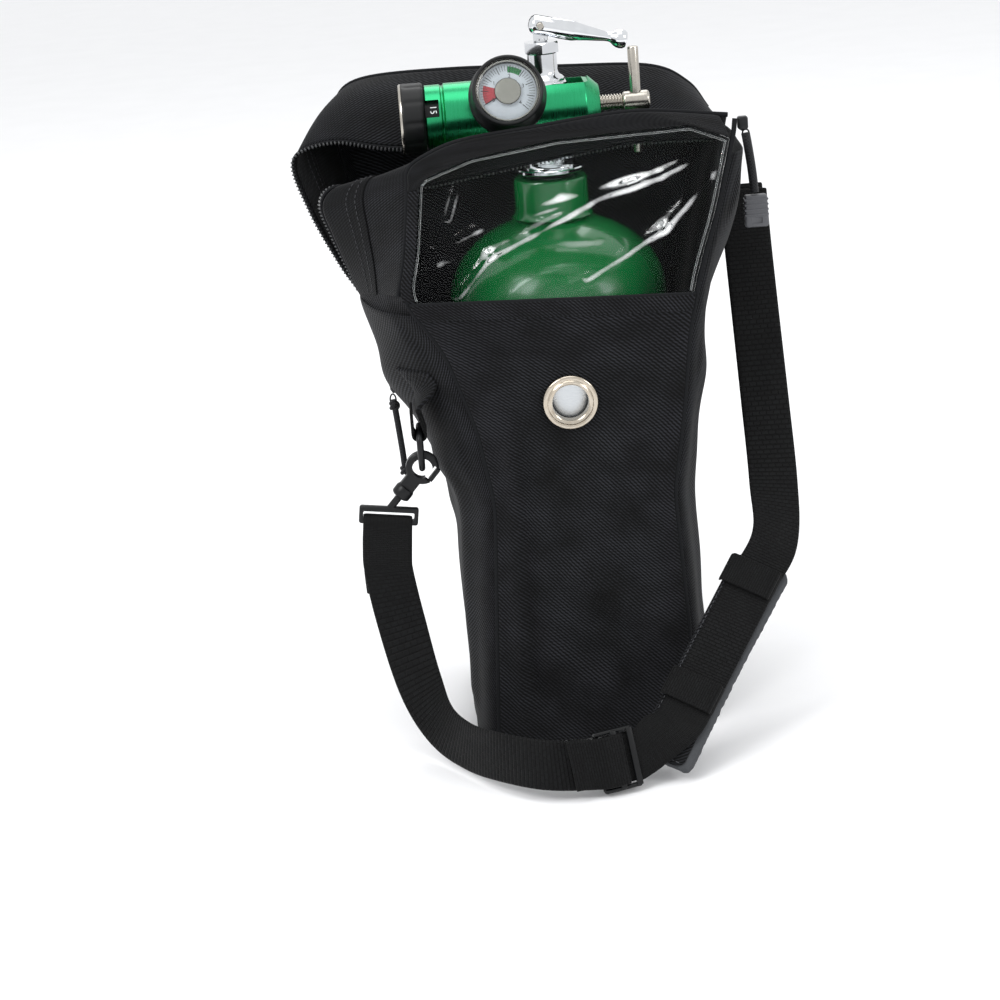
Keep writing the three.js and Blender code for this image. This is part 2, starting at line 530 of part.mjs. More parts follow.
const EYE = V(-77, -50, 150.6);
const HOOK_LEAN = rad(42);
const hung = (geometry) => geometry.rotateY(HOOK_LEAN).translate(EYE.x, EYE.y, EYE.z);
function snapHook() {
  const rim = rodY(8.4, -2.6, 2.6, 28);
  const shank = box(8, 5.2, 10, V(0, 0, -10.5));
  const socket = turned([[0, -19], [4.4, -19], [4.9, -18], [4.9, -14], [0, -13]], 20);
  const eye = rodY(5.1, -4, 4, 24);
  const mouth = box(6, 7, 8.4, V(7.2, 0, 0.6));
  const swivelBore = rodZ(2.3, -20, -15.4, 14);
  return cut(join(rim, shank, socket), eye, mouth, swivelBore);
}
part('snap_hook', hung(snapHook()), blackPlastic());
part('hook_gate', hung(box(2.2, 4, 7.6, V(7.1, 0, 0.6))), blackPlastic());
const FRAME_LEAN = rad(8);
const framePost = hung(rodZ(1.9, -26.4, -15.8, 14));
const frameAt = V(EYE.x - 19, EYE.y, EYE.z - 23.6);
const framed = (geometry) => geometry.rotateY(FRAME_LEAN).translate(frameAt.x, frameAt.y, frameAt.z);
const frameOuter = framed(box(30, 4.2, 9.4));
const frameInner = framed(box(25.8, 6, 4.2));
part('swivel_frame', cut(join(framePost, frameOuter), frameInner), blackPlastic());

// ---- strap: webbing down the left, standing on its edge round the front, then up the right ----
const webbingBetween = (centres, widths, from, to) => (u, v) => {
  const t = from + u * (to - from);
  const wide = curveThrough(widths).getPoint(t).normalize();
  return curveThrough(centres).getPoint(t).addScaledVector(wide, (v - 0.5) * WEBBING);
};
const ADJUSTER = V(6, -127, 16.6);
const adjusterAlong = V(0.96, 0.27, 0.05).normalize();
const adjusterUp = V(0.05, 0.33, 0.94);
adjusterUp.addScaledVector(adjusterAlong, -adjusterUp.dot(adjusterAlong)).normalize();
const adjusterFace = adjusterAlong.clone().cross(adjusterUp);
const adjusterFrame = new THREE.Matrix4().makeBasis(adjusterAlong, adjusterUp, adjusterFace).setPosition(ADJUSTER);
const throughAdjuster = (s) => ADJUSTER.clone().addScaledVector(adjusterAlong, s).toArray();
const up = adjusterUp.toArray();
part('strap_adjuster', cut(box(20, 30.6, 5), box(24, 26.2, 3)).applyMatrix4(adjusterFrame), greyPlastic());

const leftRoute = [[-98.6, -50, 121], [-99, -51, 102], [-95, -53, 72], [-88, -59, 38], [-79, -70, 19],
  [-66, -92, 13.4], [-51, -113, 13], [-31, -129, 13.4], throughAdjuster(-18), throughAdjuster(-9),
  throughAdjuster(-1)];
const leftWidths = [[1, 0, -0.14], [1, 0, -0.05], [0.97, 0, 0.2], [0.85, -0.15, 0.45], [0.5, -0.1, 0.85],
  [0.15, 0.12, 0.97], [0.05, 0.25, 0.95], [0.02, 0.33, 0.94], up, up, up];
part('strap_left', sheet(webbingBetween(leftRoute, leftWidths, 0, 1), 30, 1, 1.8), blackNylon());

const PAD_FOOT = V(27.5, -120.5, 8.6);
const PAD_LENGTH = 118;
const PAD_WIDTH = 33;
const PAD_THICK = 6;
const padAlong = V(0.55, 0.5, 0.69).normalize();
const padAcross = V(-0.87, 0.47, 0.35);
padAcross.addScaledVector(padAlong, -padAcross.dot(padAlong)).normalize();
const padFace = padAlong.clone().cross(padAcross).normalize();
const padFrame = new THREE.Matrix4().makeBasis(padAcross, padFace, padAlong).setPosition(PAD_FOOT);
const onPad = (s, lift, aside = 0) => PAD_FOOT.clone().addScaledVector(padAlong, s)
  .addScaledVector(padFace, lift).addScaledVector(padAcross, aside).toArray();
const STRAP_LIFT = PAD_THICK / 2 + 1.4;

const rightRoute = [throughAdjuster(0), throughAdjuster(9), throughAdjuster(12), onPad(11, 8, 5),
  onPad(22, 5.6, 0.5),
  onPad(34, STRAP_LIFT), onPad(50, STRAP_LIFT), onPad(80, STRAP_LIFT), onPad(105, STRAP_LIFT),
  onPad(130, STRAP_LIFT), [101, -38, 124], [101.5, -16, 162], [101.5, 6, 204], [101.5, 24, 240],
  [101.5, 31, 262]];
const flat = padAcross.toArray();
const rightWidths = [up, up, [-0.15, 0.36, 0.87], [-0.5, 0.42, 0.7], [-0.8, 0.46, 0.42], flat, flat, flat, flat, flat,
  [-0.97, 0.15, 0.05], [-1, 0.05, 0], [-1, 0, 0], [-1, 0, 0], [-1, 0, 0]];
part('strap_right', sheet(webbingBetween(rightRoute, rightWidths, 0.002, 1), 40, 1, 1.8), blackNylon());
part('anchor_loop_right', box(22, 3, 16, V(101.5, 34.8, 256)), blackNylon());

const padCore = box(PAD_WIDTH, PAD_THICK, PAD_LENGTH, V(0, 0, PAD_LENGTH / 2));
part('shoulder_pad', padCore.applyMatrix4(padFrame), blackRubber());
[['pad_band_lower', 40], ['pad_band_upper', 106]].forEach(([name, s]) => {
  const outside = box(PAD_WIDTH, 4.4, 16, V(0, PAD_THICK / 2 + 2.5, s));
  const inside = box(WEBBING + 1.6, 3.4, 18, V(0, PAD_THICK / 2 + 1.4, s));
  part(name, cut(outside, inside).applyMatrix4(padFrame), blackNylon());
});

export default root;
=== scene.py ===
import math

import bmesh
import bpy
from mathutils import Matrix, Vector, noise


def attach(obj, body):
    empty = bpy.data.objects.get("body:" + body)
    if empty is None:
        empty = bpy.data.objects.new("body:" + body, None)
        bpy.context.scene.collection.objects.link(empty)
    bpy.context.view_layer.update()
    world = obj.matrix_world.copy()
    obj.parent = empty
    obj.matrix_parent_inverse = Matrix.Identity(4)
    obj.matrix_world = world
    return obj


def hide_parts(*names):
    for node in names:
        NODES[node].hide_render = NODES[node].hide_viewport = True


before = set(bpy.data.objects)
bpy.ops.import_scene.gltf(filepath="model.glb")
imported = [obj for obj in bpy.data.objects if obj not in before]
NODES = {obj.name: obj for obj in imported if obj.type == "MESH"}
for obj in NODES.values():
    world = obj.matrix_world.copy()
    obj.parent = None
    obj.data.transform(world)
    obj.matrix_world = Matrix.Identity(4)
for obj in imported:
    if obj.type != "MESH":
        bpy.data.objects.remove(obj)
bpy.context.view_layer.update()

MM = 0.001


# ---------------------------------------------------------------- camera
def make_camera():
    """A long lens in front of the bag, looking down at it and rolled a little clockwise."""
    pitch = math.radians(17.76)
    yaw = math.radians(1.176)
    roll = math.radians(4.6)
    aim = Vector((math.sin(yaw) * math.cos(pitch), math.cos(yaw) * math.cos(pitch), -math.sin(pitch)))
    right = aim.cross(Vector((0, 0, 1))).normalized()
    up = right.cross(aim)
    side = right * math.cos(roll) - up * math.sin(roll)
    top = right * math.sin(roll) + up * math.cos(roll)
    camera = bpy.data.objects.new("camera", bpy.data.cameras.new("camera"))
    camera.data.sensor_width = 36
    camera.data.lens = 86.4
    turn = Matrix((side, top, -aim)).transposed().to_4x4()
    camera.matrix_world = Matrix.Translation((-0.0631, -1.2038, 0.4995)) @ turn
    bpy.context.scene.collection.objects.link(camera)
    bpy.context.scene.camera = camera


make_camera()


# ---------------------------------------------------------------- material tools
def linear(code):
    """An sRGB hex colour as the linear RGBA that the sockets take."""
    values = [int(code[i:i + 2], 16) / 255 for i in (1, 3, 5)]
    return [v / 12.92 if v <= 0.04045 else ((v + 0.055) / 1.055) ** 2.4 for v in values] + [1]


def add(tree, kind, settings=None, links=None, **values):
    """Adds one node: settings are its properties, values and links go to its inputs."""
    item = tree.nodes.new(kind)
    for key, value in (settings or {}).items():
        setattr(item, key, value)
    for key, value in values.items():
        item.inputs[key.replace("_", " ")].default_value = value
    for key, source in (links or {}).items():
        tree.links.new(source, item.inputs[key])
    return item


def shader_of(name, **sockets):
    """A new material with its tree and its Principled shader, whose sockets are set by name."""
    material = bpy.data.materials.new(name)
    material.use_nodes = True
    shader = material.node_tree.nodes["Principled BSDF"]
    for key, value in sockets.items():
        shader.inputs[key.replace("_", " ")].default_value = value
    return material, material.node_tree, shader


def mixed(tree, factor, low, high):
    """The colour that runs from low to high as the factor runs from 0 to 1."""
    mix = add(tree, "ShaderNodeMix", {"data_type": "RGBA"})
    mix.inputs[6].default_value = linear(low)
    mix.inputs[7].default_value = linear(high)
    tree.links.new(factor, mix.inputs[0])
    return mix.outputs[2]


def ranged(tree, factor, low, high):
    """The factor's 0 to 1 as low to high."""
    return add(tree, "ShaderNodeMapRange", links={"Value": factor}, To_Min=low, To_Max=high).outputs[0]


def grained(name, dark, light, grain_mm, rough, depth_mm, stretch=(1, 1, 1), detail=4, **sockets):
    """A moulded, cast, plated or turned finish: its colour and gloss vary over a grain."""
    material, tree, shader = shader_of(name, **sockets)
    place = add(tree, "ShaderNodeTexCoord").outputs["Object"]
    mapping = add(tree, "ShaderNodeMapping", links={"Vector": place}, Scale=stretch)
    cell = {"Scale": 1 / (grain_mm * MM), "Detail": detail}
    grain = add(tree, "ShaderNodeTexNoise", links={"Vector": mapping.outputs[0]}, **cell).outputs["Fac"]
    tree.links.new(mixed(tree, grain, dark, light), shader.inputs["Base Color"])
    tree.links.new(ranged(tree, grain, *rough), shader.inputs["Roughness"])
    bump = add(tree, "ShaderNodeBump", links={"Height": grain}, Strength=1, Distance=depth_mm * MM)
    tree.links.new(bump.outputs[0], shader.inputs["Normal"])
    return material


# ---------------------------------------------------------------- materials
# Sprayed enamel on an aluminium shell: an even deep green with a wet gloss and a faint orange peel.
enamel = grained("sprayed_green_enamel", "#0a6a31", "#0e7236", 3.5, (0.2, 0.26), 0.006, detail=2,
                 Coat_Weight=0.6, Coat_Roughness=0.06, IOR=1.5)
# Drawn aluminium left bare on the wall: pale, with fine lines round the cylinder.
bare_wall = grained("drawn_bare_aluminium", "#b9bdc0", "#d6d9db", 0.6, (0.28, 0.42), 0.01,
                    stretch=(0.12, 0.12, 1), Metallic=1)
# Green anodised aluminium, turned on a lathe: a coloured mirror blurred across its fine cut lines.
anodised = grained("green_anodised_aluminium", "#2a9a64", "#38a873", 0.5, (0.24, 0.32), 0.004,
                   stretch=(1, 0.05, 0.05), Metallic=1)
# Chrome plate over brass: near-white mirror with a trace of polishing haze.
chrome = grained("polished_chrome_plate", "#d3d5d8", "#e3e5e7", 5, (0.05, 0.12), 0.004, Metallic=1)
# Satin nickel plate: a warm grey that keeps the tool's lines.
nickel = grained("satin_nickel_plate", "#a9a49b", "#bdb8af", 1.6, (0.2, 0.29), 0.0015, Metallic=1)
# Nickel-plated brass eyelet, rolled in a press: bright, with a warmer tone where brass shows.
eyelet_nickel = grained("rolled_nickel_brass", "#b3a591", "#c9c3b8", 3, (0.14, 0.24), 0.004, Metallic=1)
# Free-machining brass, turned and left bare.
brass = grained("turned_brass", "#96763a", "#b99a58", 0.8, (0.24, 0.4), 0.008, Metallic=1)
# Moulded rubber: deep black with a soft, slightly dusty sheen and a fine grain.
rubber = grained("moulded_black_rubber", "#08090a", "#121314", 0.7, (0.4, 0.54), 0.012, IOR=1.5,
                 Specular_IOR_Level=0.3)
# Injection-moulded acetal for the hook, ring, frame and strap slide: black, close to semi-gloss.
acetal = grained("moulded_black_acetal", "#08090a", "#101113", 0.9, (0.28, 0.42), 0.01, IOR=1.48,
                 Specular_IOR_Level=0.28)
# The same, filled grey, for the zip tab.
grey_acetal = grained("moulded_grey_acetal", "#46474b", "#5b5c60", 0.9, (0.36, 0.5), 0.02, IOR=1.48)
# Nylon zip teeth: tiny glossy beads, dark grey so that each one shows on the black tape.
tooth_nylon = grained("nylon_zip_coil", "#232425", "#4a4b4d", 0.9, (0.22, 0.34), 0.004, IOR=1.53)
# Closed-cell foam, cut and skinned: flat dark grey with open pores.
foam = grained("grey_closed_cell_foam", "#2b2d30", "#424447", 0.9, (0.75, 0.92), 0.1, detail=6)
# Printed tinplate dial and its inks.
dial_white = grained("printed_dial_enamel", "#dfe2ea", "#eceef4", 0.8, (0.4, 0.5), 0.003)
dial_red = grained("red_dial_ink", "#c2343f", "#d9505a", 0.8, (0.4, 0.5), 0.002)
dial_green = grained("green_dial_ink", "#1d7a3d", "#2f9150", 0.8, (0.4, 0.5), 0.002)
dial_black = grained("black_dial_ink", "#111214", "#25262a", 0.8, (0.4, 0.5), 0.002)
print_white = grained("white_pad_print", "#e4e6e8", "#f6f7f8", 0.8, (0.4, 0.5), 0.002)
# Bonded polyester thread: black with a slight shine.
thread = grained("bonded_black_thread", "#1b1c1f", "#34353a", 0.4, (0.4, 0.6), 0.02)
# Blackened steel for the zip sliders and the wire of their pullers.
wire = grained("blackened_steel_wire", "#141516", "#2a2b2d", 1.5, (0.25, 0.4), 0.004, Metallic=0.6)


def twill(name, dark, light, pitch_mm, depth_mm):
    """Coated polyester twill: black, matt, with fine slanting ribs. The ribs of 600 denier cloth
    are about 0.6 mm apart and are drawn 1.5 mm apart, so that they show."""
    material, tree, shader = shader_of(
        name, Sheen_Weight=0.05, Sheen_Roughness=0.45, IOR=1.45, Specular_IOR_Level=0.14)
    place = add(tree, "ShaderNodeTexCoord").outputs["UV"]
    scale = 0.444 / (pitch_mm * MM)
    ribs = add(tree, "ShaderNodeTexWave", {"bands_direction": "DIAGONAL"}, {"Vector": place},
               Scale=scale, Distortion=1.2, Detail=2, Detail_Scale=1.5).outputs["Fac"]
    picks = add(tree, "ShaderNodeTexWave", {"bands_direction": "Y"}, {"Vector": place},
                Scale=0.314 / (pitch_mm * MM), Distortion=0.6, Detail=1).outputs["Fac"]
    weave = add(tree, "ShaderNodeMath", {"operation": "MULTIPLY_ADD"})
    tree.links.new(picks, weave.inputs[0])
    weave.inputs[1].default_value = 0.35
    tree.links.new(ribs, weave.inputs[2])
    wear = add(tree, "ShaderNodeTexNoise", links={"Vector": place}, Scale=45, Detail=5).outputs["Fac"]
    shade = add(tree, "ShaderNodeMath", {"operation": "MULTIPLY"})
    tree.links.new(weave.outputs[0], shade.inputs[0])
    tree.links.new(wear, shade.inputs[1])
    deep = ranged(tree, shade.outputs[0], -0.4, 1.5)
    tree.links.new(mixed(tree, deep, dark, light), shader.inputs["Base Color"])
    tree.links.new(ranged(tree, wear, 0.62, 0.86), shader.inputs["Roughness"])
    bump = add(tree, "ShaderNodeBump", links={"Height": weave.outputs[0]}, Strength=1,
               Distance=depth_mm * MM)
    tree.links.new(bump.outputs[0], shader.inputs["Normal"])
    return material


cloth = twill("black_polyester_twill", "#010101", "#28292d", 1.5, 0.2)
zip_tape = twill("black_zip_tape", "#010101", "#1c1d20", 1.6, 0.16)


def webbing_cloth(name, length_mm, row_mm, depth_mm):
    """Woven nylon webbing: rows of short raised floats across the strap, each beside the next."""
    material, tree, shader = shader_of(
        name, Sheen_Weight=0.03, Sheen_Roughness=0.4, IOR=1.5, Specular_IOR_Level=0.14)
    along = add(tree, "ShaderNodeTexCoord").outputs["UV"]
    place = add(tree, "ShaderNodeMapping", links={"Vector": along}, Rotation=(0, 0, math.pi / 2)).outputs[0]
    floats = add(tree, "ShaderNodeTexBrick", {"offset": 0.5}, {"Vector": place}, Scale=1,
                 Brick_Width=length_mm * MM, Row_Height=row_mm * MM, Mortar_Size=row_mm * MM * 0.22,
                 Mortar_Smooth=0.9)
    floats.inputs["Color1"].default_value = linear("#060607")
    floats.inputs["Color2"].default_value = linear("#0b0c0d")
    floats.inputs["Mortar"].default_value = linear("#010101")
    tree.links.new(floats.outputs["Color"], shader.inputs["Base Color"])
    wear = add(tree, "ShaderNodeTexNoise", links={"Vector": place}, Scale=90, Detail=4).outputs["Fac"]
    tree.links.new(ranged(tree, wear, 0.5, 0.75), shader.inputs["Roughness"])
    height = add(tree, "ShaderNodeMath", {"operation": "SUBTRACT"})
    height.inputs[0].default_value = 1
    tree.links.new(floats.outputs["Fac"], height.inputs[1])
    bump = add(tree, "ShaderNodeBump", links={"Height": height.outputs[0]}, Strength=1,
               Distance=depth_mm * MM)
    tree.links.new(bump.outputs[0], shader.inputs["Normal"])
    return material


webbing = webbing_cloth("black_nylon_webbing", 3.6, 1.35, 0.4)


def braid_cord(name, pitch_mm):
    """Braided nylon cord: strands that cross on two slants and catch the light between them."""
    material, tree, shader = shader_of(name, Sheen_Weight=0.1, IOR=1.5, Specular_IOR_Level=0.2)
    place = add(tree, "ShaderNodeTexCoord").outputs["Object"]
    strands = []
    for slant in (1, -1):
        turn = add(tree, "ShaderNodeMapping", links={"Vector": place}, Scale=(slant, slant, 1))
        strands.append(add(tree, "ShaderNodeTexWave", {"bands_direction": "DIAGONAL"},
                           {"Vector": turn.outputs[0]}, Scale=0.444 / (pitch_mm * MM)).outputs["Fac"])
    top = add(tree, "ShaderNodeMath", {"operation": "MAXIMUM"})
    tree.links.new(strands[0], top.inputs[0])
    tree.links.new(strands[1], top.inputs[1])
    tree.links.new(mixed(tree, top.outputs[0], "#040405", "#1f2023"), shader.inputs["Base Color"])
    tree.links.new(ranged(tree, top.outputs[0], 0.8, 0.5), shader.inputs["Roughness"])
    bump = add(tree, "ShaderNodeBump", links={"Height": top.outputs[0]}, Strength=1, Distance=0.2 * MM)
    tree.links.new(bump.outputs[0], shader.inputs["Normal"])
    return material


braid = braid_cord("braided_nylon_cord", 1.1)


def clear_sheet(name, haze, mirror, rough, ripple_mm, grain_mm, slant=None):
    """Clear plastic: what is behind it shows unbent, and its skin mirrors the lights at a slant.
    slant gives where the mirroring starts, where it is full, and how strong it is there."""
    material = bpy.data.materials.new(name)
    material.use_nodes = True
    tree = material.node_tree
    tree.nodes.remove(tree.nodes["Principled BSDF"])
    place = add(tree, "ShaderNodeTexCoord").outputs["Object"]
    ripple = add(tree, "ShaderNodeTexNoise", links={"Vector": place}, Scale=1 / (grain_mm * MM), Detail=2)
    bump = add(tree, "ShaderNodeBump", links={"Height": ripple.outputs["Fac"]}, Strength=1,
               Distance=ripple_mm * MM).outputs[0]
    gloss = add(tree, "ShaderNodeBsdfAnisotropic", links={"Normal": bump}, Roughness=rough)
    gloss.inputs["Color"].default_value = linear("#ffffff")
    through = add(tree, "ShaderNodeBsdfTransparent")
    through.inputs["Color"].default_value = linear(haze)
    if slant:
        facing = add(tree, "ShaderNodeLayerWeight", links={"Normal": bump}).outputs["Facing"]
        share = add(tree, "ShaderNodeMapRange", links={"Value": facing}, From_Min=slant[0], From_Max=slant[1],
                    To_Min=mirror, To_Max=slant[2])
    else:
        facing = add(tree, "ShaderNodeFresnel", links={"Normal": bump}, IOR=1.34).outputs[0]
        share = add(tree, "ShaderNodeMapRange", links={"Value": facing}, To_Min=mirror, To_Max=1)
    skin = add(tree, "ShaderNodeMixShader")
    tree.links.new(share.outputs[0], skin.inputs[0])
    tree.links.new(through.outputs[0], skin.inputs[1])
    tree.links.new(gloss.outputs[0], skin.inputs[2])
    tree.links.new(skin.outputs[0], tree.nodes["Material Output"].inputs["Surface"])
    return material


# Plasticised vinyl film: soft, with shallow ripples, so its reflections break up.
vinyl = clear_sheet("clear_vinyl_film", "#f6f8f8", 0.004, 0.07, 0.22, 7, (0.1, 0.62, 1.0))
# The same film where it is folded double at its sewn edges: thicker, so it mirrors more.
vinyl_fold = clear_sheet("folded_vinyl_edge", "#c4cccc", 0.03, 0.12, 0.6, 3, (0.06, 0.9, 0.75))
# Polycarbonate gauge lens: hard and even.
lens_clear = clear_sheet("clear_polycarbonate", "#f4f6f6", 0.0, 0.02, 0.001, 20)


# ---------------------------------------------------------------- shape tools
Z_TO_X = Matrix.Rotation(math.pi / 2, 4, "Y")
AXIS_Z = 317.5
AXIS = Matrix.Translation((0, 0, AXIS_Z)) @ Z_TO_X


def at(x, y, z):
    return Matrix.Translation((x, y, z))


def turned(profile, steps=96, ring=False):
    """A piece turned about Z, from points of (radius, height). A ring's outline closes on itself."""
    bm = bmesh.new()
    corners = [bm.verts.new((r, 0, z)) for r, z in profile]
    for a, b in zip(corners, corners[1:]):
        bm.edges.new((a, b))
    if ring:
        bm.edges.new((corners[-1], corners[0]))
    bmesh.ops.spin(bm, geom=bm.verts[:] + bm.edges[:], cent=(0, 0, 0), axis=(0, 0, 1),
                   angle=2 * math.pi, steps=steps, use_merge=True)
    bmesh.ops.remove_doubles(bm, verts=bm.verts, dist=0.0005)
    bmesh.ops.recalc_face_normals(bm, faces=bm.faces)
    return bm


def rod(radius, low, high, steps=48):
    """A plain round bar about Z."""
    bm = bmesh.new()
    bmesh.ops.create_cone(bm, cap_ends=True, segments=steps, radius1=radius, radius2=radius,
                          depth=high - low, matrix=at(0, 0, (low + high) / 2))
    return bm


def block(x, y, z, centre=(0, 0, 0), edge=0.0, segments=3):
    """A block with its edges rounded off."""
    bm = bmesh.new()
    bmesh.ops.create_cube(bm, size=1, matrix=at(*centre) @ Matrix.Diagonal((x, y, z, 1)))
    if edge:
        bmesh.ops.bevel(bm, geom=bm.edges[:], offset=edge, segments=segments, profile=0.5,
                        affect="EDGES", material=-1)
    return bm


def moved(bm, matrix):
    bm.transform(matrix)
    return bm


def shaped(base, *steps):
    """Joins solids to a solid or cuts them from it: steps are ("UNION" or "DIFFERENCE", solid)."""
    def stand_in(bm):
        mesh = bpy.data.meshes.new("working")
        bm.to_mesh(mesh)
        bm.free()
        thing = bpy.data.objects.new("working", mesh)
        bpy.context.scene.collection.objects.link(thing)
        return thing
    body = stand_in(base)
    tools = [body]
    for operation, tool in steps:
        change = body.modifiers.new("change", "BOOLEAN")
        change.operation = operation
        change.solver = "EXACT"
        change.object = stand_in(tool)
        tools.append(change.object)
    result = bmesh.new()
    result.from_object(body, bpy.context.evaluated_depsgraph_get())
    for thing in tools:
        bpy.data.meshes.remove(thing.data)
    bmesh.ops.remove_doubles(result, verts=result.verts, dist=0.001)
    bmesh.ops.dissolve_degenerate(result, edges=result.edges, dist=0.001)
    return result


def finished(name, bm, material, body, stands_for=(), matrix=None, edge=0.0, flat=False):
    """Makes a piece from its mesh: to metres, smooth, with its material and body, and hides the CAD nodes
    that it stands for.
    """
    if matrix is not None:
        bm.transform(matrix)
    bm.transform(Matrix.Scale(MM, 4))
    mesh = bpy.data.meshes.new(name)
    bm.to_mesh(mesh)
    bm.free()
    for face in mesh.polygons:
        face.use_smooth = not flat
    mesh.set_sharp_from_angle(angle=math.radians(34))
    for one in material if isinstance(material, (list, tuple)) else [material]:
        mesh.materials.append(one)
    piece = bpy.data.objects.new(name, mesh)
    bpy.context.scene.collection.objects.link(piece)
    if edge:
        rounding = piece.modifiers.new("rounding", "BEVEL")
        rounding.width = edge * MM
        rounding.segments = 2
        rounding.limit_method = "ANGLE"
        rounding.angle_limit = math.radians(34)
        rounding.harden_normals = True
    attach(piece, body)
    if stands_for:
        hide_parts(*([stands_for] if isinstance(stands_for, str) else stands_for))
    return piece


def through(points, t):
    """A point on the smooth curve through a list of points, with t from 0 to 1."""
    last = len(points) - 1
    span = min(max(t, 0), 1) * last
    i = min(int(span), last - 1)
    w = span - i
    b = Vector(points[i])
    c = Vector(points[i + 1])
    a = Vector(points[i - 1]) if i > 0 else b * 2 - c
    d = Vector(points[i + 2]) if i + 2 <= last else c * 2 - b
    return 0.5 * (2 * b + (c - a) * w + (2 * a - 5 * b + 4 * c - d) * w * w
                  + (3 * b - a - 3 * c + d) * w ** 3)


def stations(pairs, value):
    """Reads a list of (place, size) between its places, with rounded corners."""
    def straight(s):
        for (z0, a), (z1, b) in zip(pairs, pairs[1:]):
            if s <= z1:
                return a + (b - a) * max(0, (s - z0) / (z1 - z0))
        return pairs[-1][1]
    reach = 7
    return sum(straight(value + k * reach) for k in (-1, -0.5, 0, 0.5, 1)) / 5


def blended(a, b, t):
    return a + (b - a) * t


def eased(t):
    t = min(max(t, 0), 1)
    return t * t * (3 - 2 * t)


def fold(x, z, start, end, width, height):
    """The height at (x, z) of a soft fold along a line, which fades out at its ends."""
    p = Vector((x, z))
    a = Vector(start)
    line = Vector(end) - a
    t = (p - a).dot(line) / line.length_squared
    away = (p - a - line * min(max(t, 0), 1)).length
    fade = eased(1 - max(0, -t, t - 1) * 4) * eased(0.35 + 2.5 * min(t + 0.2, 1.2 - t))
    return height * fade * math.exp(-(away / width) ** 2)


def sheet(name, surface, across, up, thickness, material, body, stands_for=(), rounds=1):
    """Cloth, film or webbing: surface(u, v) gives its middle, and its UVs are metres along it."""
    bm = bmesh.new()
    bmesh.ops.create_grid(bm, x_segments=across, y_segments=up, size=0.5)
    count = 24
    wide = sum((surface((i + 1) / count, 0.5) - surface(i / count, 0.5)).length for i in range(count))
    high = sum((surface(0.5, (i + 1) / count) - surface(0.5, i / count)).length for i in range(count))
    layer = bm.loops.layers.uv.new("cloth")
    for face in bm.faces:
        for loop in face.loops:
            u, v = loop.vert.co.x + 0.5, loop.vert.co.y + 0.5
            loop[layer].uv = (u * wide * MM, v * high * MM)
    for vert in bm.verts:
        vert.co = surface(vert.co.x + 0.5, vert.co.y + 0.5)
    piece = finished(name, bm, material, body, stands_for)
    piece.data.set_sharp_from_angle(angle=math.pi)
    wall = piece.modifiers.new("wall", "SOLIDIFY")
    wall.thickness = thickness * MM
    wall.offset = 0
    if rounds:
        smooth = piece.modifiers.new("smooth", "SUBSURF")
        smooth.levels = rounds
        smooth.render_levels = rounds
    return piece


def lifted(surface, u, v, lift):
    """A point off a sheet's face by lift."""
    step = 0.004
    here = surface(u, v)
    side = surface(min(u + step, 1), v) - surface(max(u - step, 0), v)
    rise = surface(u, min(v + step, 1)) - surface(u, max(v - step, 0))
    return here + side.cross(rise).normalized() * lift


def strand(name, points, radius, material, body, stands_for=(), smooth=0, sides=3,
           loop=False, keep_curve=False):
    """A round strand along a route. A cord stays a curve of one spline, and the rest go to mesh."""
    route = points
    if smooth:
        route = [through(points, i / smooth) for i in range(smooth + 1)]
    curve = bpy.data.curves.new(name, "CURVE")
    curve.dimensions = "3D"
    spline = curve.splines.new("POLY")
    spline.points.add(len(route) - 1)
    for point, place in zip(spline.points, route):
        point.co = (*(Vector(place) * MM), 1)
    curve.bevel_depth = radius * MM
    curve.bevel_resolution = sides
    curve.use_fill_caps = True
    curve.materials.append(material)
    spline.use_cyclic_u = loop
    piece = bpy.data.objects.new(name, curve)
    if not keep_curve:
        piece = bpy.data.objects.new(name, bpy.data.meshes.new_from_object(piece))
        bpy.data.curves.remove(curve)
    bpy.context.scene.collection.objects.link(piece)
    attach(piece, body)
    if stands_for:
        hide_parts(stands_for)
    return piece


def frame_at(place, along, out):
    """A matrix at a place, with X along a direction and Z out of the surface."""
    x = along.normalized()
    y = out.cross(x).normalized()
    turn = Matrix((x, y, x.cross(y))).transposed().to_4x4()
    return Matrix.Translation(place) @ turn


def beads(route, pitch, size, out_at):
    """Small rounded beads spaced along a route: teeth or stitches. out_at(t) points off the cloth."""
    samples = 400
    places = [route(i / samples) for i in range(samples + 1)]
    bm = bmesh.new()
    travelled = 0
    due = pitch / 2
    for i in range(samples):
        step = places[i + 1] - places[i]
        while travelled + step.length >= due:
            part = (due - travelled) / max(step.length, 1e-6)
            matrix = frame_at(places[i] + step * part, step, out_at((i + part) / samples))
            bmesh.ops.create_icosphere(bm, subdivisions=1, radius=1,
                                       matrix=matrix @ Matrix.Diagonal((*size, 1)))
            due += pitch
        travelled += step.length
    return bm


def stitched(name, surface, line, pitch=2.9, lift=0.75, body="bag"):
    """A row of lockstitches on a sheet: line(t) gives the (u, v) that it follows."""
    def route(t):
        return lifted(surface, *line(t), lift)
    def out(t):
        u, v = line(t)
        return (lifted(surface, u, v, 1) - surface(u, v))
    return finished(name, beads(route, pitch, (1.15, 0.26, 0.22), out), thread, body)


def numeral(text, size, matrix, bm):
    """Adds one printed number to a mesh, upright in the matrix's own X and Y."""
    curve = bpy.data.curves.new("numeral", "FONT")
    curve.body = text
    curve.size = size
    curve.align_x = "CENTER"
    curve.align_y = "CENTER"
    curve.extrude = 0.03
    thing = bpy.data.objects.new("numeral", curve)
    mesh = bpy.data.meshes.new_from_object(thing)
    mesh.transform(matrix)
    bm.from_mesh(mesh)
    bpy.data.meshes.remove(mesh)
    bpy.data.curves.remove(curve)


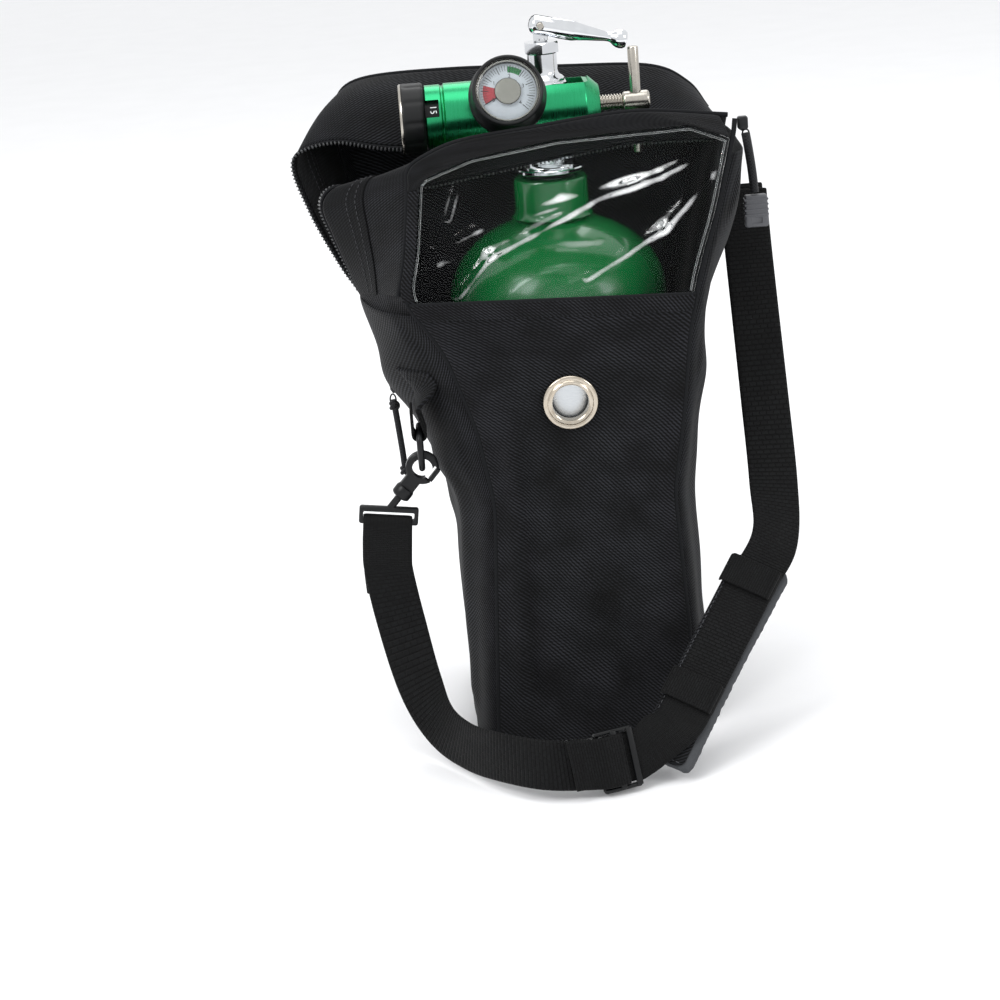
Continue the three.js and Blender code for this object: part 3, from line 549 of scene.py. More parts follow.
# ---------------------------------------------------------------- pull cords, first of all
def pull_cord(name, route, radius, body):
    """A braided cord of one smooth curve, hanging from its zip slider."""
    cord = strand(name + "_braid", route, radius, braid, body, name, smooth=60, keep_curve=True)
    length = sum((through(route, (i + 1) / 60) - through(route, i / 60)).length for i in range(60))
    return cord


LEFT_PULL = [(-89.2, -8.2, 175.6), (-88.6, -8.6, 170), (-87.6, -9, 158), (-86.8, -9.2, 147), (-86.4, -9, 138)]
RIGHT_PULL = [(99.8, -1.4, 296.8), (100.8, -2.2, 289), (101.9, -3.6, 278), (102.6, -4.6, 266.8)]


def pull_tab():
    """The moulded grip on the right-hand pull: four ribs across it and a dished lower end."""
    low = 249
    tab = block(11.4, 4.8, 16.6, edge=1.1)
    for vert in tab.verts:
        if vert.co.z < -4:
            vert.co.x *= 1 + 0.1 * math.sin((-4 - vert.co.z) / 4.3 * math.pi)
    steps = []
    for k in range(4):
        steps.append(("UNION", block(12.4, 5.6, 1.2, (0, 0, 6 - 2.6 * k), 0.45, 2)))
    steps.append(("DIFFERENCE", block(5.4, 1.4, 3.2, (0, -2.6, -4.6), 0.5, 2)))
    return finished("zip_pull_grip", shaped(tab, *steps), grey_acetal, "right_pull",
                    "pull_tab_right", matrix=at(103, -4.7, low + 8.4))


grip = pull_tab()
pull_cord("pull_cord_left", LEFT_PULL, 1.7, "left_pull")
pull_cord("pull_cord_right", RIGHT_PULL, 2.3, "right_pull")


# ---------------------------------------------------------------- cylinder
SHELL_R = 55.5
SHELL_WALL = 6.5
SHOULDER_Z = 222
NECK_R = 18.6
NECK_TOP_Z = 283
PAINT_EDGE_Z = 213


def cylinder():
    """The drawn shell: a rolled foot, a straight wall, a domed shoulder and a thick neck."""
    foot = [(0, 13), (20, 11), (38, 5), (42, 4.2), (45, 4), (48, 4.4), (51, 5.6), (53.4, 7.6), (54.7, 10),
            (55.3, 12.6), (SHELL_R, 16)]
    wall = [(SHELL_R, z) for z in (70, 130, 190, PAINT_EDGE_Z - 0.2)]
    painted = [(SHELL_R + 0.08, PAINT_EDGE_Z + 0.2)]
    dome = []
    for i in range(0, 15):
        a = math.radians(i * 5.1)
        dome.append((SHELL_R * math.cos(a), SHOULDER_Z + 42 * math.sin(a)))
    blend = [(20.6, 263.6), (19.2, 265.4), (NECK_R, 268)]
    neck = [(NECK_R, 281.6), (NECK_R - 0.7, NECK_TOP_Z - 0.2), (NECK_R - 1.6, NECK_TOP_Z), (9.5, NECK_TOP_Z)]
    inner = [(9.5, 258), (16, 256.5)]
    for i in range(3, -1, -1):
        a = math.radians(i * 18)
        inner.append(((SHELL_R - SHELL_WALL) * math.cos(a), SHOULDER_Z + 34 * math.sin(a)))
    inner += [(SHELL_R - SHELL_WALL, 26), (40, 21), (0, 20)]
    bm = turned(foot + wall + painted + dome + blend + neck + inner, 144)
    for face in bm.faces:
        face.material_index = 0 if face.calc_center_median().z > PAINT_EDGE_Z - 0.25 else 1
    finished("gas_cylinder", bm, [enamel, bare_wall], "cylinder_unit", "cylinder_shell")


cylinder()


# ---------------------------------------------------------------- post valve
PIVOT_Z = 358.5
DROOP = math.radians(14)


def post_valve():
    """Chrome post: a flange on the neck, the squared post the yoke fits, and the round stem housing."""
    neck_plug = [(0, 258), (9.1, 258), (9.1, 283.3), (10.2, 283.4), (10.2, 286)]
    flange = [(17.4, 285.9), (18, 286.4), (18, 287.8), (17.4, 288.3), (13.2, 288.6), (12.9, 289.2)]
    step = [(12.9, 291), (14.2, 291.5), (14.2, 293), (0, 293)]
    base = turned(neck_plug + flange + step, 96)
    post = shaped(block(22, 19, 40, (0, 0, 311.4)), ("DIFFERENCE", turned(
        [(13.3, 280), (30, 280), (30, 340), (13.3, 340)], 96, ring=True)),
        ("DIFFERENCE", block(40, 40, 12, (0, 0, 336.7))))
    housing = turned([(0, 329), (10.4, 329), (10.6, 331.2), (10.5, 332.2), (9.6, 333.2), (8.3, 334),
                      (7.7, 335),
                      (7.5, 336.4), (7.5, 344.6), (7.2, 345), (0, 345)], 96)
    cuts = [rod(3.1, 311, 350, 48), rod(2.4, 250, 314, 32)]
    cuts.append(moved(rod(3.2, -14, 0.5, 40), AXIS))
    cuts += [moved(rod(2.4, -14, -5, 32), at(0, side * 5, -10.5) @ AXIS) for side in (-1, 1)]
    steps = [("UNION", post), ("UNION", housing)] + [("DIFFERENCE", c) for c in cuts]
    finished("post_valve", shaped(base, *steps), chrome, "cylinder_unit", "valve_body", edge=0.25)


post_valve()


def gland_nut():
    """A hexagon nut with chamfered corners."""
    hexagon = rod(9.5, 345.3, 350.5, 6)
    both = shaped(hexagon, ("DIFFERENCE", turned([(8.1, 350.7), (9.2, 349.7), (12, 348), (12, 352), (8.1,
            352)],
                                                 72, ring=True)), ("DIFFERENCE", rod(3.3, 340, 355, 40)))
    finished("gland_nut_hex", both, chrome, "cylinder_unit", "gland_nut", edge=0.2)


gland_nut()


def valve_stem():
    shaft = rod(2.75, 313, 352, 40)
    tongue = block(7.2, 3, 7.6, (0, 0, PIVOT_Z - 4), 0.2, 1)
    eye = moved(rod(3.7, -1.5, 1.5, 48), at(0, 0, PIVOT_Z) @ Matrix.Rotation(math.pi / 2, 4, "X"))
    bore = moved(rod(2.05, -3, 3, 40), at(0, 0, PIVOT_Z) @ Matrix.Rotation(math.pi / 2, 4, "X"))
    bm = shaped(shaft, ("UNION", tongue), ("UNION", eye), ("DIFFERENCE", bore))
    finished("stem_and_tongue", bm, chrome, "stem_unit", "valve_stem", edge=0.15)
    pin = turned([(0, -5.4), (1.3, -5.4), (1.75, -5), (1.75, 5), (1.3, 5.4), (0, 5.4)], 40)
    finished("pivot_pin", pin, nickel, "stem_unit", "lever_pin",
             matrix=at(0, 0, PIVOT_Z) @ Matrix.Rotation(math.pi / 2, 4, "X"))


valve_stem()


def toggle_lever():
    """The turned toggle: a fat clevis over the stem, a waisted arm and a bead at its end."""
    arm = moved(turned([(0, -5.6), (2.4, -5.4), (3.9, -4.5), (4.8, -3.2), (5, -2), (5, 16.6), (4.8, 17.6),
                        (4.4, 19.4),
                        (3.6, 24.5), (2.9, 30), (2.4, 33.4), (2.4, 35.4), (2.8, 36.4), (4, 38), (4.6, 39.4),
                        (4.8, 41), (4.6, 42.6), (3.8, 43.8), (2.4, 44.2), (0, 44.2)], 72), Z_TO_X)
    slot = block(13.4, 3.6, 14, (-0.9, 0, 0))
    eye = moved(rod(2.05, -7, 7, 40), Matrix.Rotation(math.pi / 2, 4, "X"))
    bm = shaped(arm, ("DIFFERENCE", slot), ("DIFFERENCE", eye))
    finished("toggle_arm", bm, chrome, "lever", "toggle_lever", edge=0.2,
             matrix=at(0, 0, PIVOT_Z) @ Matrix.Rotation(DROOP, 4, "Y"))


toggle_lever()


# ---------------------------------------------------------------- yoke regulator
BODY_X0 = -60.2
BODY_X1 = 27.2
GAUGE_TILT = math.radians(22)
GAUGE = at(-19.5, 0, AXIS_Z) @ Matrix.Rotation(math.pi / 2 - GAUGE_TILT, 4, "X")
READOUT_TURN = math.radians(-24)


def regulator_body():
    """One green bar: bored from the left for the flow parts, with the yoke window cut through it."""
    bar = turned([(0, BODY_X0), (15.3, BODY_X0), (15.9, BODY_X0 + 0.6), (15.9, -52.3), (15.3, -51.8),
                  (15.2, -51.5),
                  (15.2, -51), (15.7, -50.5), (16.3, -50.1), (16.3, 19.4), (16.1, 19.9), (15.6, 20.5),
                  (9.9, 26.8),
                  (9.3, BODY_X1), (0, BODY_X1)], 144)
    cuts = [block(40, 20, 33, (0, 0, 3))]
    for side in (-1, 1):
        cuts.append(block(8, 40, 37, (side * 16.6, 0, 3.2), 0.6, 2))
    cuts += [rod(11.6, BODY_X0 - 1, -24, 72), rod(13.6, BODY_X0 - 1, -52.1, 72), rod(3.1, -26, -12, 32)]
    cuts.append(rod(4.45, 18, 30, 48))
    cuts += [moved(rod(2.3, -19.5, -12, 24), at(10.5, side * 5, 0)) for side in (-1, 1)]
    barb_port = rod(3.3, -20, 0, 32)
    cuts.append(moved(barb_port, Z_TO_X.inverted() @ at(-40, 0, 0) @ Matrix.Rotation(math.radians(30), 4,
            "X")))
    readout = block(9.4, 12, 8.8, (-57.9, -15, 0), 0.4, 2)
    cuts.append(moved(readout, Z_TO_X.inverted() @ Matrix.Rotation(READOUT_TURN, 4, "X")))
    gauge_port = rod(4, 9, 22, 40)
    cuts.append(moved(gauge_port, AXIS.inverted() @ GAUGE))
    bm = shaped(bar, *[("DIFFERENCE", c) for c in cuts])
    finished("yoke_body", bm, anodised, "cylinder_unit", "regulator_body", matrix=AXIS,
             edge=0.3)


regulator_body()


def flow_knob():
    """A rubber-gripped knob with ten finger grooves, a bright rim and its plain end cap."""
    outline = [(0, -71.6), (13.2, -71.6), (13.4, -72.4), (16.2, -72.5), (17, -72.1), (17.5, -71.2),
               (17.5, -61.8),
               (17.1, -61), (16.5, -60.6), (8.6, -60.6), (3.4, -60.5), (3.4, -51.6), (0, -51.6)]
    filled = []
    for (r0, z0), (r1, z1) in zip(outline, outline[1:]):
        parts = 10 if r0 == r1 == 17.5 else 1
        filled += [(blended(r0, r1, i / parts), blended(z0, z1, i / parts)) for i in range(parts)]
    bm = turned(filled + [outline[-1]], 180)
    for vert in bm.verts:
        radius = math.hypot(vert.co.x, vert.co.y)
        if radius < 16:
            continue
        turn = math.degrees(math.atan2(vert.co.y, vert.co.x)) % 36 - 18
        run = eased((vert.co.z + 71.4) / 2.4)
        dent = 0.5 * run * math.exp(-(turn / 4.2) ** 2)
        vert.co.x *= (radius - dent) / radius
        vert.co.y *= (radius - dent) / radius
    finished("flow_knob_grip", bm, rubber, "flow_control", "flow_knob", matrix=AXIS)
    cap = turned([(0, -73.1), (11.8, -73.1), (12.6, -72.9), (13, -72.3), (13, -71.8), (0, -71.8)], 96)
    finished("knob_end_cap", cap, nickel, "flow_control", "knob_cap", matrix=AXIS)
    rim = turned([(15.9, -72.9), (16.9, -72.8), (17.35, -72.3), (17.5, -71.7), (17.3, -71.6),
                  (16.4, -72.3)], 96, ring=True)
    finished("knob_bright_rim", rim, nickel, "flow_control", matrix=AXIS)


flow_knob()


def number_ring():
    """The black ring behind the readout window, printed with the flow in litres a minute."""
    ring = turned([(9, -60.4), (13.3, -60.4), (13.3, -52.4), (9, -52.4)], 96, ring=True)
    finished("flow_number_ring", ring, acetal, "flow_control", "number_ring", matrix=AXIS,
             edge=0.2)
    marks = bmesh.new()
    for i, text in enumerate(["15", "0", ".5", "1", "1.5", "2", "3", "4", "6", "8", "10", "12"]):
        turn = Matrix.Rotation(READOUT_TURN + math.radians(30 * i), 4, "X")
        upright = Matrix.Rotation(math.pi / 2, 4, "X") @ Matrix.Rotation(-math.pi / 2, 4, "Z")
        numeral(text, 4.6, at(0, 0, AXIS_Z) @ turn @ at(-56.2, -13.25, 0) @ upright, marks)
    finished("flow_numbers", marks, print_white, "flow_control", flat=True)


number_ring()


def hose_barb():
    """The outlet for the breathing tube: three barbs over a hexagon."""
    tube = turned([(1.4, -37), (2.2, -37), (3.6, -33.7), (2.9, -33.4), (4, -29.7), (3, -29.4), (4.2, -25.7),
                   (3, -25.4),
                   (3, -12.5), (1.4, -12.5)], 72, ring=True)
    hexagon = shaped(rod(5, -22, -16.8, 6), ("DIFFERENCE", rod(2.9, -24, -15, 40)))
    bm = shaped(tube, ("UNION", hexagon))
    finished("tube_outlet_barb", bm, nickel, "cylinder_unit", "hose_barb", edge=0.15,
             matrix=at(-40, 0, AXIS_Z) @ Matrix.Rotation(math.radians(30), 4, "X"))


hose_barb()


def gauge():
    """The contents gauge: a steel case in a rubber boot, a printed dial and a domed clear lens."""
    boot = turned([(7.4, 26), (16.6, 26), (17.8, 26.2), (18.7, 26.8), (19.2, 27.8), (19.2, 31), (18.9, 32),
                   (18.3, 33), (17.5, 41.6), (17.3, 43), (16.9, 43.7), (16.4, 43.95), (15.9, 43.8),
                   (15.6, 43.2),
                   (15.7, 42.6), (16, 42.2), (16, 28.1), (7.4, 28.1)], 120, ring=True)
    finished("gauge_rubber_boot", boot, rubber, "cylinder_unit", "gauge_boot", matrix=GAUGE)
    face = turned([(1.6, 38), (14.1, 38), (14.1, 38.7), (1.6, 38.7)], 96, ring=True)
    finished("gauge_dial_face", face, dial_white, "cylinder_unit", "gauge_dial", matrix=GAUGE)
    rim = turned([(14.1, 38.2), (15.3, 38.2), (15.4, 42), (14.9, 42.2), (14.1, 39.6)], 96, ring=True)
    finished("gauge_inner_rim", rim, acetal, "cylinder_unit", matrix=GAUGE)
    lens = turned([(0, 42.9), (12, 42.7), (15.2, 42.3), (15.3, 42.7), (13, 43.4), (9, 43.9), (4, 44.15),
                   (0, 44.2)], 96)
    finished("gauge_clear_lens", lens, lens_clear, "cylinder_unit", "gauge_lens", matrix=GAUGE)
    dial_print()
    hub = turned([(0, 40.2), (6.2, 40.2), (6.5, 40.4), (6.5, 40.9), (6.2, 41.2), (5.2, 41.35), (0.7, 41.6),
                  (0, 41.5)], 96)
    finished("gauge_hub", hub, nickel, "cylinder_unit", "gauge_hub_disc", matrix=GAUGE)
    needle = block(15, 0.9, 0.4, (4.6, 0, 39.45), 0.1, 1)
    for vert in needle.verts:
        vert.co.y *= 1.3 - (vert.co.x + 3) / 15
    needle = shaped(needle, ("UNION", rod(1.2, 35, 39.9, 32)))
    low_end = Matrix.Rotation(math.radians(205), 4, "Z")
    finished("gauge_needle", needle, dial_black, "pointer", "gauge_pointer",
             matrix=GAUGE @ low_end)


def arc_band(inner, outer, start, end, height):
    """A flat printed band on the dial, from one angle to another."""
    bm = bmesh.new()
    turn = Matrix.Rotation(math.radians(start), 4, "Z")
    ends = [bm.verts.new(turn @ Vector((r, 0, height))) for r in (inner, outer)]
    bm.edges.new(ends)
    bmesh.ops.spin(bm, geom=bm.verts[:] + bm.edges[:], cent=(0, 0, 0), axis=(0, 0, 1),
                   angle=math.radians(end - start), steps=16)
    swept = bmesh.ops.extrude_face_region(bm, geom=bm.faces[:])
    raised = [v for v in swept["geom"] if isinstance(v, bmesh.types.BMVert)]
    bmesh.ops.translate(bm, verts=raised, vec=(0, 0, 0.05))
    bmesh.ops.recalc_face_normals(bm, faces=bm.faces)
    return bm


def dial_print():
    """Ticks over 250 degrees, a red low sector, a green full sector and plain numbers."""
    top = 38.72
    ticks = bmesh.new()
    for i in range(41):
        angle = math.radians(205 - 6.25 * i)
        long = i % 5 == 0
        inner = 9.4 if long else 10.4
        mark = block(13.2 - inner, 0.34 if long else 0.17, 0.06, ((13.2 + inner) / 2, 0, top + 0.05))
        mark.transform(Matrix.Rotation(angle, 4, "Z"))
        mesh = bpy.data.meshes.new("tick")
        mark.to_mesh(mesh)
        mark.free()
        ticks.from_mesh(mesh)
        bpy.data.meshes.remove(mesh)
    for i, text in enumerate(["0", "1", "2", "3", "4"]):
        angle = math.radians(205 - 62.5 * i)
        numeral(text, 2.6, at(8 * math.cos(angle), 8 * math.sin(angle), top + 0.05), ticks)
    finished("dial_ticks", ticks, dial_black, "cylinder_unit", matrix=GAUGE, flat=True)
    finished("dial_low_sector", arc_band(6.4, 12.2, 160, 205, top), dial_red, "cylinder_unit",
             matrix=GAUGE, flat=True)
    finished("dial_full_sector", arc_band(9.6, 12.6, 52, 86, top), dial_green, "cylinder_unit",
             matrix=GAUGE, flat=True)


gauge()


# ---------------------------------------------------------------- yoke clamp screw
BAR_X = 45.5


def clamp_screw():
    """The screw that clamps the yoke: a cut thread, a plain neck, a hub, and the T-bar through it."""
    pitch = 1.45
    turns = 16
    rise = [(3.35 if k % 2 == 0 else 4.15, k * pitch / 2) for k in range(2 * turns + 1)]
    flat_crests = []
    for r, z in rise:
        flat_crests += [(r, z - 0.17), (r, z + 0.17)]
    steps = 48
    thread = bmesh.new()
    corners = [thread.verts.new((r, 0, z)) for r, z in flat_crests]
    for a, b in zip(corners, corners[1:]):
        thread.edges.new((a, b))
    bmesh.ops.spin(thread, geom=thread.verts[:] + thread.edges[:], cent=(0, 0, 0), axis=(0, 0, 1),
                   dvec=(0, 0, pitch / steps), angle=2 * math.pi, steps=steps)
    bmesh.ops.remove_doubles(thread, verts=thread.verts, dist=0.01)
    open_edges = [e for e in thread.edges if e.is_boundary]
    bmesh.ops.holes_fill(thread, edges=open_edges)
    bmesh.ops.recalc_face_normals(thread, faces=thread.faces)
    thread.transform(at(0, 0, 14.6))
    finished("clamp_thread", thread, nickel, "clamp_handle", matrix=AXIS)
    hub = turned([(0, 15.2), (2.2, 15.2), (3.1, 16), (3.1, 38.4), (3.6, 38.8), (4.2, 39.1), (4.65, 39.6),
                  (4.8, 40.2),
                  (4.8, 51), (4.6, 51.8), (4.1, 52.3), (3.4, 52.5), (0, 52.5)], 96)
    cross = moved(rod(3.05, -9, 9, 48), at(0, 0, BAR_X) @ Matrix.Rotation(math.pi / 2, 4, "Y"))
    finished("clamp_hub", shaped(hub, ("DIFFERENCE", cross)), nickel, "clamp_handle", "clamp_screw",
             matrix=AXIS, edge=0.2)
    bar = turned([(0, -26.5), (2, -26.5), (2.5, -26.3), (2.75, -25.8), (2.75, 25.8), (2.5, 26.3), (2, 26.5),
                  (0, 26.5)], 72)
    finished("t_bar_handle", bar, nickel, "clamp_handle", "t_bar",
             matrix=at(BAR_X, 0, AXIS_Z + 0.5))


clamp_screw()


# Inner pieces keep their own solids and take their real finish.
KEPT = {
    "neck_o_ring": rubber, "inlet_nipple": brass, "yoke_washer": brass, "index_pin_1": nickel,
    "index_pin_2": nickel, "piston": brass, "piston_spring": nickel, "orifice_disc": brass,
    "gauge_stem": brass, "gauge_case": nickel, "bourdon_tube": brass, "thrust_pad": nickel,
    "grommet_washer": eyelet_nickel,
}
for node, material in KEPT.items():
    NODES[node].data.materials.clear()
    NODES[node].data.materials.append(material)


# ---------------------------------------------------------------- bag: where its panels run
FRONT_Y = -60.2
BACK_Y = 58.8
HEM_Z = 236
FOOT_Z = 0.5
SPLIT_Z = 231
LEFT_TOP_Z = SPLIT_Z - 0.4
FRONT_LEFT = [(0, -50), (50, -47), (130, -42), (170, -48), (211, -61), (240, -80), (258, -75), (310, -68)]
FRONT_RIGHT = [(0, 49), (50, 52), (130, 48), (170, 55), (211, 60), (240, 67), (270, 78), (310, 89)]
BACK_LEFT = [(0, -50), (130, -50), (180, -68), (231, -87), (290, -106), (312, -107), (332, -92)]
BACK_RIGHT = [(0, 50), (130, 50), (200, 61), (260, 75), (300, 86), (326, 70)]
SIDE_LEFT = [(0, -60), (122, -62), (139, -67), (181, -86.6), (208, -95), (SPLIT_Z, -101)]
SIDE_RIGHT = [(0, 59), (130, 59), (160, 61), (200, 69), (SPLIT_Z, 77), (300, 96)]
FRONT_DEPTH = [(0, FRONT_Y), (230, FRONT_Y), (315, -48)]
FILM_TOP = [(-69, 291), (-66, 296), (-43, 304), (0, 309.5), (66, 311), (87, 303)]

# Soft folds in the front cloth: start, end, width and height.
FRONT_FOLDS = [
    ((-33, 160), (-36, 20), 4.5, 2.2), ((-26, 158), (-29, 30), 3.5, -1.3), ((40, 60), (-4, 92), 7, 1.6),
    ((46, 40), (6, 66), 6, -1.0), ((-30, 55), (10, 28), 7, 1.3), ((18, 150), (48, 196), 8, 1.4),
    ((30, 140), (54, 176), 6, -1.0), ((-60, 226), (-30, 150), 8, 1.5), ((30, 100), (46, 128), 6, 1.3),
    ((-50, 214), (-18, 200), 9, -0.9), ((44, 100), (20, 50), 8, 0.9),
]
SIDE_FOLDS = [
    ((0.16, 0.93), (0.5, 0.8), 0.05, 2.4), ((0.12, 0.8), (0.44, 0.7), 0.045, -1.8),
    ((0.3, 0.1), (0.26, 0.6), 0.06, 2.0),
    ((0.4, 0.62), (0.15, 0.66), 0.04, 1.6), ((0.55, 0.5), (0.75, 0.9), 0.06, 2.2),
    ((0.7, 0.2), (0.6, 0.7), 0.06, -1.8),
]


BACK_FOLDS = [((-60, 220), (30, 120), 8, 1.6), ((50, 200), (-20, 60), 8, 1.3), ((-40, 90), (20, 30), 6, 1.2),
              ((-80, 260), (-30, 300), 7, 1.5), ((70, 250), (20, 190), 7, 1.4)]


def soft(a, b, seed, size=34):
    """Slack in the cloth: a slow roll, the same every time."""
    return noise.noise(Vector((a / size, b / size, seed)))


def front_surface(u, v):
    hem = HEM_Z - 6 * u
    z = FOOT_Z + v * (hem - FOOT_Z)
    x = blended(stations(FRONT_LEFT, z) + 0.6, stations(FRONT_RIGHT, z) - 0.6, u)
    held = math.sin(math.pi * u) ** 0.6 * min(1, (1 - v) * 14 + 0.15)
    out = 0.8 * math.sin(math.pi * u) + held * (0.9 * soft(x, z, 1.3) + 0.6)
    out += 2.3 * held * sum(fold(x, z, *one) for one in FRONT_FOLDS)
    out *= 1 - 0.85 * math.exp(-(((x + 1) ** 2 + (z - 181) ** 2) / 24 ** 2) ** 2)
    return Vector((x, stations(FRONT_DEPTH, z) - max(out, -2.4), z))


def back_surface(u, v):
    top = stations_sharp([(0, 327), (0.1, 331), (0.85, 325), (1, 304)], u)
    z = FOOT_Z + v * (top - FOOT_Z)
    x = blended(stations(BACK_LEFT, z) + 0.5, stations(BACK_RIGHT, z) - 0.5, u)
    held = math.sin(math.pi * u) ** 0.6
    out = 0.9 * soft(x, z, 7.7) + 0.4 + 1.4 * sum(fold(x, z, *one) for one in BACK_FOLDS)
    return Vector((x, BACK_Y + held * max(out, -0.6), z))


def stations_sharp(pairs, value):
    for (z0, a), (z1, b) in zip(pairs, pairs[1:]):
        if value <= z1:
            return a + (b - a) * max(0, (value - z0) / (z1 - z0))
    return pairs[-1][1]


def bezier(a, b, c, d, t):
    s = 1 - t
    return a * s ** 3 + b * 3 * s * s * t + c * 3 * s * t * t + d * t ** 3


def side_surface(side, edge_front, edge_side, edge_back, top_z, seed):
    """A side panel, from the front seam round the side to the back seam, with its own folds."""
    def surface(u, v):
        z = FOOT_Z + v * (top_z - FOOT_Z)
        front = Vector((stations(edge_front, z), stations(FRONT_DEPTH, z) + 1.6, z))
        middle = stations(edge_side, z)
        back = Vector((stations(edge_back, z), BACK_Y - 1.2, z))
        corner = 9 * side
        if u < 0.5:
            place = bezier(front, front + Vector((corner, 0, 0)), Vector((middle, -34, z)),
                           Vector((middle, 0, z)), u * 2)
        else:
            place = bezier(Vector((middle, 0, z)), Vector((middle, 34, z)), back + Vector((corner, 0, 0)),
                           back, u * 2 - 1)
        held = math.sin(math.pi * u) ** 0.7
        out = 1.3 * soft(place.y + 20, z, seed) + 1.7 * sum(fold(u, v, *one) for one in SIDE_FOLDS)
        place.x += side * held * max(out, -1.4)
        return place
    return surface


left_surface = side_surface(-1, FRONT_LEFT, SIDE_LEFT, BACK_LEFT, LEFT_TOP_Z, 3.1)
right_surface = side_surface(1, FRONT_RIGHT, SIDE_RIGHT, BACK_RIGHT, 296, 5.9)

LID_SEAM = [(-88, 56.8, 232), (-101, 56.8, 270), (-108, 56.8, 298), (-107, 56.6, 318), (-93, 56.4, 331),
            (-45, 56.4, 332.6), (10, 56.4, 329.5), (58, 56.4, 326), (78, 56, 316), (88, 55, 302)]
LID_EDGE = [(-100.6, 2.6, 231), (-110, 6, 247), (-122.5, 9, 275), (-128, 14, 300), (-108, 20, 307),
            (-72, 23, 300.5), (0, 27, 299), (50, 27, 299), (80, 24, 300), (92, 14, 298)]
MOUTH_SEAM = [(-81, -55, 240), (-77, -53, 256), (-74, -51, 275), (-72, -49.5, 292), (-71, -48.5, 300),
              (-64, -48, 305.5), (-45, -47, 312), (-10, -47, 315.5), (40, -45.5, 319), (86, -41, 313)]
MOUTH_EDGE = [(-100.6, -2.6, 231), (-105, -6, 245), (-111, -8, 263), (-115, -12, 280), (-106, -19, 289),
              (-85, -30, 289.5), (-60, -35, 291), (-15, -36, 297), (40, -35, 303), (86, -22, 299)]


def gusset(seam, edge, rise, seed):
    def surface(u, v):
        place = through(seam, u).lerp(through(edge, u), v)
        slack = math.sin(math.pi * v) * math.sin(math.pi * u)
        place.z += rise * slack + 1.2 * slack * soft(u * 260, v * 30, seed, 22)
        return place
    return surface


lid_surface = gusset(LID_SEAM, LID_EDGE, 4, 2.2)
mouth_surface = gusset(MOUTH_SEAM, MOUTH_EDGE, 0.4, 8.4)

# Creases in the film, sharper than folds in cloth: start, end, width and height.
FILM_CREASES = [
    ((-76, 256), (-40, 271), 2.6, 2.6), ((-40, 271), (50, 289), 2.6, 2.8), ((50, 289), (87, 306), 2.4, 2.4),
    ((-53, 238), (-35, 258), 2.4, 2.8), ((-35, 258), (14, 279), 2.6, 2.6), ((14, 279), (76, 297), 2.2, 1.8),
    ((11, 243), (50, 264), 2.4, 3.0), ((50, 264), (84, 296), 2.6, 3.0), ((-44, 305), (-54, 276), 2.2, 2.6),
    ((-66, 298), (-75, 252), 2.2, 2.2), ((-73, 250), (-50, 254), 3.4, -2.4), ((62, 230), (82, 272), 2.4, 2.6),
    ((82, 272), (88, 302), 2.2, 2.6), ((-8, 264), (34, 261), 4.6, 1.4), ((20, 307), (84, 301), 2.4, 2.2),
    ((-20, 302), (20, 307), 2.6, -1.6), ((70, 300), (78, 276), 2.0, 2.2), ((72, 240), (86, 280), 2.2, -2.0),
    ((-60, 262), (-66, 240), 2.6, 1.8), ((0, 286), (34, 300), 3.4, -1.4), ((-30, 240), (-4, 250), 3.0, 1.4),
]


def film_surface(u, v):
    hem = HEM_Z + 0.4 - 6 * u
    across = blended(-69, 87, u)
    z = hem + v * (stations_sharp(FILM_TOP, across) - hem)
    x = blended(stations(FRONT_LEFT, z) + 3.4, stations(FRONT_RIGHT, z) - 1.5, u)
    held = math.sin(math.pi * min(max(u, 0.02), 0.98)) ** 0.5 * math.sin(math.pi * min(max(v, 0.02),
            0.98)) ** 0.5
    out = 1.6 * held + held * 1.0 * soft(x, z, 9.1, 16)
    crumple = 0.86 + 1.2 * soft(x, z, 4.4, 15)
    out += held * crumple * sum(fold(x, z, *one) for one in FILM_CREASES)
    return Vector((x, stations(FRONT_DEPTH, z) - out, z))


# ---------------------------------------------------------------- bag: panels
CLOTH = 1.3


def punched(piece, centre, radius):
    """Cuts the eyelet's hole through a cloth panel."""
    drill = bmesh.new()
    bmesh.ops.create_cone(drill, cap_ends=True, segments=64, radius1=radius * MM, radius2=radius * MM,
                          depth=0.03,
                          matrix=at(*[c * MM for c in centre]) @ Matrix.Rotation(math.pi / 2, 4, "X"))
    mesh = bpy.data.meshes.new("drill")
    drill.to_mesh(mesh)
    drill.free()
    tool = bpy.data.objects.new("drill", mesh)
    bpy.context.scene.collection.objects.link(tool)
    hole = piece.modifiers.new("hole", "BOOLEAN")
    hole.solver = "EXACT"
    hole.object = tool
    whole = bpy.data.meshes.new_from_object(piece.evaluated_get(bpy.context.evaluated_depsgraph_get()))
    piece.modifiers.clear()
    piece.data = whole
    bpy.data.meshes.remove(mesh)


